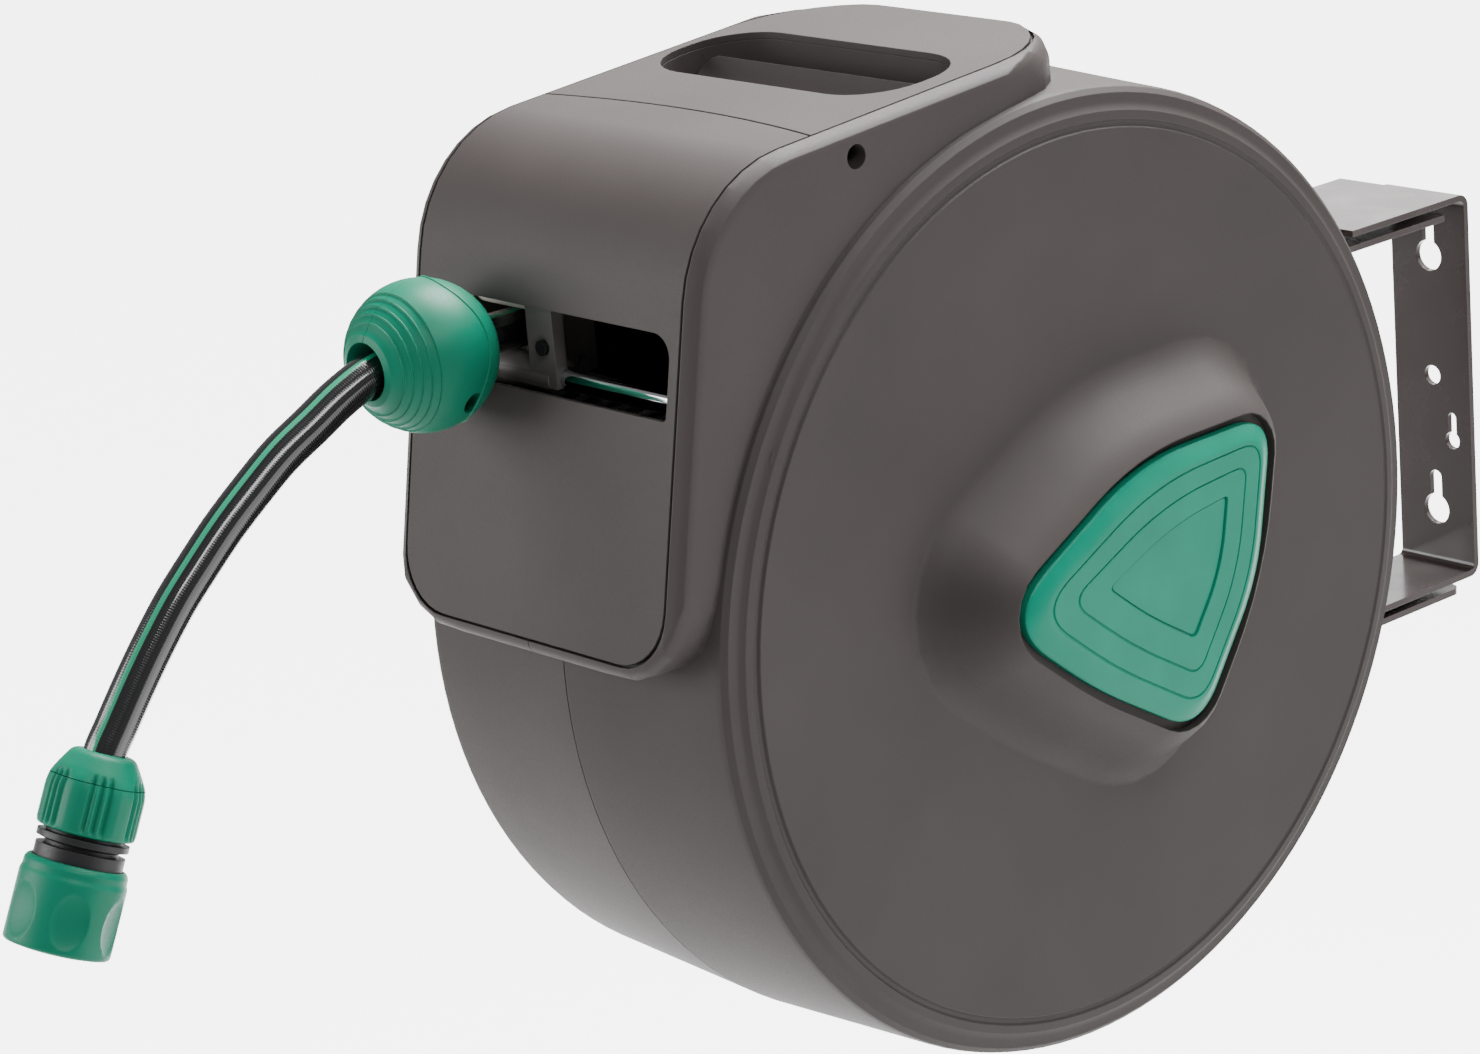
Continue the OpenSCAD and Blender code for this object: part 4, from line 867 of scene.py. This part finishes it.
@dataclass
class Connector:
    """Moulded surfaces of the hose connector, and the spring under its sleeve.

    Places along it are in mm from the top of the clamp nut. A rounding is how far along its sides
    each corner of an outline is rounded. A lobe or fade is where it begins and how far it runs.
    """

    play: float = 0.3
    nut_r: float = 19.0
    nut_l: float = 32.0
    nut_lip: float = 3.6
    nut_wall: float = 4.0
    nut_edge: float = 1.0
    shoulder_in: float = 1.6
    shoulder_at: float = 8.5
    grip_at: float = 14.0
    nut_rounding: tuple[float, ...] = (0.4, 2.6, 3, 3, 1, 0.4, 0.4, 0.4)
    nut_steps: tuple[int, float, int] = (7, 0.9, 360)
    sector_deg: float = 60.0
    groove_deg: float = 11.0
    groove_half_deg: float = 3.0
    groove_depth: float = 1.4
    lobe_deg: Pair = (17.0, 8.0)
    lobe_h: float = 0.35
    fade_in: Pair = (5.5, 1.5)
    fade_top: Pair = (7.5, 3.0)
    fade_end: Pair = (3.2, 2.0)
    sleeve_top: float = 43.0
    sleeve_l: float = 35.0
    sleeve_r: float = 21.0
    sleeve_bore: float = 17.8
    sleeve_lip: float = 2.0
    collar_in: float = 0.7
    collar_at: tuple[float, ...] = (2.0, 4.5, 6.5)
    sleeve_edge: float = 1.0
    sleeve_rounding: tuple[float, ...] = (0.3, 1, 0.8, 0.8, 0.8, 1.6, 0.4, 0.3, 0.3)
    sleeve_steps: tuple[int, float, int] = (6, 0.8, 300)
    dent_wall: float = 2.5
    dent_at: float = 0.6
    dent_half_w: float = 7.6
    dent_half_l: float = 11.0
    dent_depth: float = 2.1
    dent_power: float = 0.8
    stem_r: float = 15.0
    spring_top: float = 45.0
    spring_end: float = 58.0
    spring_gap: float = 0.1
    wire_r: float = 0.9
    wire_sides: int = 10
    coils: int = 4
    coil_steps: int = 36
    sharp_deg: float = 40.0

    def stand(self, radius: Array, angle: Array, along: Array) -> Array:
        """Sets points of the connector's own cylinder frame in the part.

        Args:
            radius: Distance from the connector's axis, in mm.
            angle: Angle about the axis, from the part's X.
            along: Distance from the top of the nut, in mm.

        Returns:
            Points in metres in the part's frame.
        """
        droop = math.radians(SIZES.droop_deg)
        down = np.array([0.0, -math.cos(droop), -math.sin(droop)])
        front = np.array([0.0, -math.sin(droop), math.cos(droop)])
        top = np.array([SIZES.guide_x, *SIZES.nut_top])
        return to_part(top + (radius * np.cos(angle))[..., None] * ACROSS
                       + (radius * np.sin(angle))[..., None] * front + along[..., None] * down)

    def turned(self, name: str, outline: Array, sunk: Array) -> Piece:
        """Turns an outline about the axis.

        Args:
            name: Name of the piece.
            outline: Radius and place along the axis of each point.
            sunk: For each point of the outline and each angle, how much less the radius is.

        Returns:
            The piece.
        """
        radius = outline[:, :1] - sunk
        angle = np.broadcast_to(angles(sunk.shape[1]), radius.shape)
        along = np.broadcast_to(outline[:, 1:], radius.shape)
        return grid_piece(name, self.stand(radius, angle, along), sharp_deg=self.sharp_deg)

    def outline(self, corners: list[Pair], rounding: tuple[float, ...],
                steps: tuple[int, float, int]) -> tuple[Array, Array]:
        """Rounds an outline, and gives the angles of its piece.

        Args:
            corners: Radius and place along the axis of each corner.
            rounding: For each corner, how far it is rounded.
            steps: Points on a rounding, greatest distance of points, and angles of a turn.

        Returns:
            The outline, and each angle in degrees from the middle of its sector.
        """
        rounded = rounded_loop(np.array(corners), np.array(rounding), steps[0])
        turn = np.degrees(angles(steps[2])) % self.sector_deg - self.sector_deg / 2
        return refine(rounded, steps[1]), turn

    def nut(self) -> Piece:
        """Builds the clamp nut.

        The radius falls by three bell shaped grooves in each of six sectors, and swells a little
        between the sectors; both fade out towards the hose and at the ends of the grip.

        Returns:
            The nut.
        """
        hole, inside, r, h = SIZES.hose_r + self.play, self.nut_r - self.nut_wall, self.nut_r, self.nut_l
        outline, turn = self.outline(
            [(hole, 0), (SIZES.hose_r + self.nut_lip, 0), (r - self.shoulder_in, self.shoulder_at),
             (r, self.grip_at), (r, h - self.nut_edge), (inside, h), (inside, SIZES.seat),
             (hole, SIZES.seat)], self.nut_rounding, self.nut_steps)
        grooves = sum(np.exp(-((turn - self.groove_deg * k) / self.groove_half_deg) ** 2)
                      for k in (-1, 0, 1))
        lobe = ramp(np.abs(turn), *self.lobe_deg)
        grip = (ramp(outline[:, 0], r - self.fade_in[0], self.fade_in[1])
                * ramp(outline[:, 1], *self.fade_top)
                * (1 - ramp(outline[:, 1], h - self.fade_end[0], self.fade_end[1])))
        sunk = grip[:, None] * (self.groove_depth * grooves - self.lobe_h * lobe)[None, :]
        piece = self.turned("connector_clamp_nut", outline, sunk)
        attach(piece, "guide")
        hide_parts("connector_nut")
        return piece

    def sleeve(self) -> Piece:
        """Builds the pull sleeve.

        An oval dent is sunk into its wall in each of six sectors: inside the oval the depth follows
        one minus the squared distance from its middle, in units of the oval's half lengths.

        Returns:
            The sleeve.
        """
        low, high, r = self.sleeve_top, self.sleeve_top + self.sleeve_l, self.sleeve_r
        collar_r, stem = r - self.collar_in, self.stem_r + self.play
        lip_end, collar_end, wall_at = (low + at for at in self.collar_at)
        outline, turn = self.outline(
            [(self.sleeve_bore, low), (r - self.sleeve_lip, low), (collar_r, lip_end),
             (collar_r, collar_end), (r, wall_at), (r, high - self.sleeve_edge), (stem, high),
             (stem, self.spring_end), (self.sleeve_bore, self.spring_end)],
            self.sleeve_rounding, self.sleeve_steps)
        across = np.radians(turn) * r / self.dent_half_w
        along = (outline[:, 1] - low - self.dent_at * self.sleeve_l) / self.dent_half_l
        wall = (outline[:, 0] > r - self.dent_wall).astype(float)
        dent = np.clip(1 - across[None, :] ** 2 - along[:, None] ** 2, 0, 1) ** self.dent_power
        piece = self.turned("connector_pull_sleeve", outline, wall[:, None] * self.dent_depth * dent)
        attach(piece, "sleeve")
        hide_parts("connector_sleeve")
        return piece

    def spring(self) -> Piece:
        """Builds the spring under the sleeve, at one length; the real one is pressed together as the sleeve
        is pulled back.

        A round wire follows a helix: at angle a its middle lies halfway between the stem and the
        sleeve, and moves along the axis evenly with a.

        Returns:
            The spring.
        """
        turn = np.linspace(0, math.tau * self.coils, self.coil_steps * self.coils + 1)[:, None]
        ring = angles(self.wire_sides)[None, :]
        inset = self.wire_r + self.spring_gap
        low, high = self.spring_top + inset, self.spring_end - inset
        radius = (self.stem_r + self.sleeve_bore) / 2 + self.wire_r * np.cos(ring) + 0 * turn
        along = low + (high - low) * turn / turn[-1] + self.wire_r * np.sin(ring)
        piece = grid_piece("connector_coil_spring", self.stand(radius, turn + 0 * ring, along), closed=False)
        start, end = (self.stand(np.zeros(1), np.zeros(1), np.array([at]))[0].tolist()
                      for at in (self.spring_top, self.spring_end))
        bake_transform(piece)
        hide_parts("connector_spring")
        return piece

    def build(self, finisher: Finisher) -> list[Piece]:
        """Builds and dresses the nut, the sleeve and the spring.

        Args:
            finisher: What puts on the finishes.

        Returns:
            The three pieces.
        """
        made = [self.nut(), self.sleeve(), self.spring()]
        for piece, slot in zip(made, (Slot.GREEN, Slot.GREEN, Slot.STEEL)):
            finisher.dress(piece, slot)
        return made


@dataclass
class BallBead:
    """Raised wavy bead round the rear of the stop ball, where its mould parts."""

    ball_y: float = -234.166
    ball_r: float = 31.0
    bead_r: float = 0.55
    rear_deg: float = 17.0
    wave_deg: float = 7.0
    waves: int = 3
    turn_deg: float = 40.0
    wave_steps: int = 240
    bead_sides: int = 10

    def build(self, finisher: Finisher) -> Piece:
        """Builds the bead: a small ring carried along a closed wave on the ball.

        At angle a about the hose the wave lies rear_deg plus wave_deg times the sine of waves a
        behind the ball's middle. The bead's ring stands on the ball's radius and square to the wave.

        Args:
            finisher: What puts on the finish.

        Returns:
            The bead.
        """
        a = angles(self.wave_steps)
        wave = np.sin(self.waves * a + math.radians(self.turn_deg))
        lean = np.radians(self.rear_deg + self.wave_deg * wave)
        out = np.column_stack([np.cos(lean) * np.cos(a), np.sin(lean), np.cos(lean) * np.sin(a)])
        path = np.array([SIZES.guide_x, self.ball_y, SIZES.layer_r]) + self.ball_r * out
        run = unit(np.roll(path, -1, axis=0) - np.roll(path, 1, axis=0))
        rings = rings_along(path, out, np.cross(run, out), self.bead_r, self.bead_sides)
        piece = grid_piece("stop_ball_bead", to_part(rings))
        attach(piece, "guide")
        finisher.dress(piece, Slot.GREEN)
        return piece


@dataclass
class HubBadge:
    """Green hub cover: a rounded triangle with a sloping border, two lines and a sunk panel.

    Its outline has a corner and the middle of a bowed side by turns. The border is given by shares
    of the outline and of the thickness, from the back to the flat.
    """

    face_x: float = 121.0
    thick: float = 8.0
    corners: tuple[Pair, ...] = (
        (81, 56), (0, 55), (-86, 10), (-32, -34), (27, -70), (68, -12))
    reach: tuple[float, ...] = (21, 29, 35, 20, 22, 20)
    flatten: tuple[float, ...] = (0, 0.3, 0, 0, 0, 0)
    ease: float = 30.0
    sharpen: float = 2.5
    corner_steps: int = 12
    middle: Pair = (22.0, 8.0)
    border: tuple[Pair, ...] = (
        (0.02, 0.0), (0.97, 0.0), (1.0, 0.05), (1.0, 0.55), (0.995, 0.6), (0.985, 0.66), (0.88, 0.96),
        (0.86, 1.0))
    line_half: float = 0.008
    lines: tuple[float, ...] = (0.83, 0.655)
    line_depth: float = 0.7
    panel: float = 0.44
    panel_depth: float = 0.9
    panel_rings: tuple[float, ...] = (0.3, 0.1)
    sharp_deg: float = 22.0

    def notch(self, share: float, after: float) -> list[Pair]:
        """Gives the rings of a notch round the flat.

        Args:
            share: Share of the outline at the middle of the notch.
            after: Height of the face inside the notch, which is line_depth deeper than that.

        Returns:
            Share and height of each ring, from the outside in.
        """
        half, deep = self.line_half, after - self.line_depth
        return [(share + half, self.thick), (share + half / 2, deep), (share - half / 2, deep),
                (share - half, after)]

    def profile(self) -> Array:
        """Gives share of the outline and height for each ring, from the back to the middle.

        The wall stands up to 60 % of the thickness, the border slopes up to the flat, each line is
        a notch in the flat, and the panel in the middle is sunk, with a notch round it.

        Returns:
            Share and height of each ring.
        """
        floor = self.thick - self.panel_depth
        rows = [(share, part * self.thick) for share, part in self.border]
        for line in self.lines:
            rows += self.notch(line, self.thick)
        rows += self.notch(self.panel, floor) + [(share, floor) for share in self.panel_rings]
        return np.array(rows)

    def ring(self, share: float) -> Array:
        """Gives the outline drawn in towards the middle by a share.

        A corner's reach falls with the share to the power of sharpen, so inner outlines have
        sharper corners. A bow's reach falls with the share alone and grows by ease, and its middle
        is drawn in further by flatten.

        Args:
            share: 1 for the outline itself, 0 for its middle.

        Returns:
            The points of the ring.
        """
        flat, reach = np.array(self.corners, float), np.array(self.reach, float)
        bow = np.arange(len(flat)) % 2 == 1
        drawn = share * (1 - np.array(self.flatten) * (1 - share))
        reach = np.where(bow, share * (reach + self.ease * (1 - share)), reach * share ** self.sharpen)
        return rounded_loop(self.middle + drawn[:, None] * (flat - self.middle), reach, self.corner_steps)

    def build(self) -> Piece:
        """Builds and dresses the badge: rings of the outline, each at its share and height.

        Returns:
            The badge.
        """
        profile = self.profile()
        flat = np.stack([self.ring(share) for share in profile[:, 0]])
        height = np.broadcast_to(self.face_x + profile[:, 1:], flat.shape[:2])
        piece = grid_piece("hub_badge", to_part(np.concatenate([height[..., None], flat], -1)),
                           closed=False, sharp_deg=self.sharp_deg)
        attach(piece, "reel")
        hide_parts("hub_cover")
        # The badge's green is painted paler, as a painted reflection.
        piece.data.materials.append(BADGE_GREEN_PAINTED_PALE.material())
        return piece


@dataclass(frozen=True)
class Lamp:
    """One soft box: its place, where it is turned to, its width and height, and its power."""

    name: str
    eye: Point
    aim: Point
    size: tuple[float, float]
    watts: float


@dataclass
class Studio:
    """Camera at the photograph's place, pale floor with a pool of painted light, and soft light.

    The camera's place is in mm about the drum's centre, all other places are in metres.
    """

    eye: Point = (1363.9, -1309.0, 602.2)
    right: Point = (0.6764, 0.7325, -0.0768)
    up: Point = (-0.17, 0.2567, 0.9514)
    focal_px: float = 4600.0
    photo_px: float = 1480.0
    sensor_mm: float = 36.0
    clip: Pair = (0.05, 50.0)
    floor_z: float = -1.5
    floor_half: float = 12.0
    floor_cells: int = 12
    floor_paint: str = "#f2f2f2"
    floor_roughness: float = 0.8
    sky: str = "#f4f5f6"
    sky_strength: float = 0.3
    # Painted light: the floor glows brightest in a pool far behind the reel.
    pool_at: Point = (-5.0, 3.9, -1.5)
    pool_r: Pair = (4.4, 6.0)
    pool_glow: float = 6.0
    floor_glow: float = 0.3
    lamps: tuple[Lamp, ...] = (
        Lamp("overhead_box", (-0.3, 0.8, 2.2), (0.0, -0.34, 0.0), (1.4, 1.4), 240),
        Lamp("key_box", (-1.2, -2.2, 0.5), (0.0, -0.34, 0.0), (1.4, 1.4), 42),
        Lamp("fill_box", (2.0, 0.7, -0.5), (0.0, -0.34, 0.0), (1.8, 1.8), 21),
        Lamp("strip_box", (1.15, -0.75, 1.2), (-0.04, -0.65, 0.08), (1.3, 0.22), 13),
        Lamp("rear_box", (0.9, 1.7, 1.4), (0.0, -0.34, 0.0), (1.6, 1.6), 12),
        Lamp("back_box", (-2.1, 1.95, 1.0), (0.0, -0.1, 0.08), (1.8, 0.9), 13))

    def stand(self, made: Piece, right: Array, back: Array, eye: Array) -> None:
        """Sets a camera or lamp in its place.

        Args:
            made: Object that looks along its own -Z.
            right: Direction of its X, of length 1.
            back: Direction of its Z, of length 1 and square to right.
            eye: Its place.
        """
        place = np.eye(4)
        place[:3, :3] = np.column_stack([right, np.cross(back, right), back])
        place[:3, 3] = eye
        made.matrix_world = Matrix(place.tolist())

    def camera(self) -> None:
        """Sets the camera: its axes are right and up, squared up by their cross products."""
        back = unit(np.cross(self.right, self.up))
        data = bpy.data.cameras.new("photo_camera")
        data.sensor_width = self.sensor_mm
        data.lens = self.focal_px / self.photo_px * self.sensor_mm
        data.clip_start, data.clip_end = self.clip
        made = add_object("photo_camera", data)
        self.stand(made, unit(np.cross(self.up, back)), back, to_part(np.array(self.eye)))
        bpy.context.scene.camera = made

    def floor(self) -> None:
        """Lays a pale floor, a flat grid far under the reel, with a wide pool of painted light behind it.

        The floor's own emission is this painted light: the glow falls from the pool to the rest of the
        floor between two radii about pool_at.
        """
        cells, lines = self.floor_cells, self.floor_cells + 1
        span = np.linspace(-self.floor_half, self.floor_half, lines)
        x, y = np.meshgrid(span, span, indexing="ij")
        points = np.stack([x, y, np.full_like(x, self.floor_z)], -1).reshape(-1, 3)
        i, j = np.meshgrid(np.arange(cells), np.arange(cells), indexing="ij")
        first = (i * lines + j).ravel()
        faces = np.stack([first, first + lines, first + lines + 1, first + 1], -1)
        mesh = bpy.data.meshes.new("studio_floor")
        mesh.from_pydata(points.tolist(), [], faces.tolist())
        made = add_object("studio_floor", mesh)
        paint = bpy.data.materials.new("studio_floor_paint")
        paint.use_nodes = True
        tree = paint.node_tree
        place = add_node(tree, "TexCoord", {}).outputs["Object"]
        away = add_node(tree, "VectorMath", {0: place, 1: self.pool_at}, operation="DISTANCE")
        # Painted light: the floor's emission, strong in the pool and weak elsewhere.
        glow = add_node(tree, "MapRange", {
            "Value": away.outputs["Value"], "From Min": self.pool_r[0], "From Max": self.pool_r[1],
            "To Min": self.pool_glow, "To Max": self.floor_glow}, interpolation_type="SMOOTHSTEP")
        set_inputs(tree, tree.nodes["Principled BSDF"], {
            "Base Color": linear(self.floor_paint), "Roughness": self.floor_roughness,
            "Emission Color": linear(self.floor_paint), "Emission Strength": glow.outputs["Result"]})
        mesh.materials.append(paint)

    def hang(self, lamp: Lamp) -> None:
        """Hangs one soft box.

        Args:
            lamp: The soft box.
        """
        data = bpy.data.lights.new(lamp.name, "AREA")
        data.shape = "RECTANGLE"
        data.size, data.size_y = lamp.size
        data.energy = lamp.watts
        back = unit(np.array(lamp.eye) - np.array(lamp.aim))
        self.stand(add_object(lamp.name, data), unit(np.cross([0.0, 0.0, 1.0], back)), back, lamp.eye)

    def light(self) -> None:
        """Hangs the soft boxes and sets the light of the room."""
        for lamp in self.lamps:
            self.hang(lamp)
        world = bpy.context.scene.world or bpy.data.worlds.new("studio_air")
        bpy.context.scene.world = world
        world.use_nodes = True
        set_inputs(world.node_tree, world.node_tree.nodes["Background"],
                   {"Color": linear(self.sky), "Strength": self.sky_strength})


def corners(box: tuple) -> list[list[float]]:
    """Turns a box of two corners into plain lists of numbers."""
    return [[float(v) for v in point] for point in box]


def main() -> None:
    """Builds the classes in order and dresses the CAD nodes."""
    logging.basicConfig(level=logging.INFO, format="%(message)s")
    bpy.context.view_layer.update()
    finisher = Finisher()
    studio = Studio()
    studio.camera()
    carried = Connector().build(finisher) + [BallBead().build(finisher)]
    hose = HoseLine()
    hose.build(finisher, carried)
    for piece in carried + hose.pieces + [HubBadge().build()]:
        LOG.info("piece: %s", piece.name)
    finisher.dress_nodes()
    studio.floor()
    studio.light()


if __name__ == "__main__":
    main()
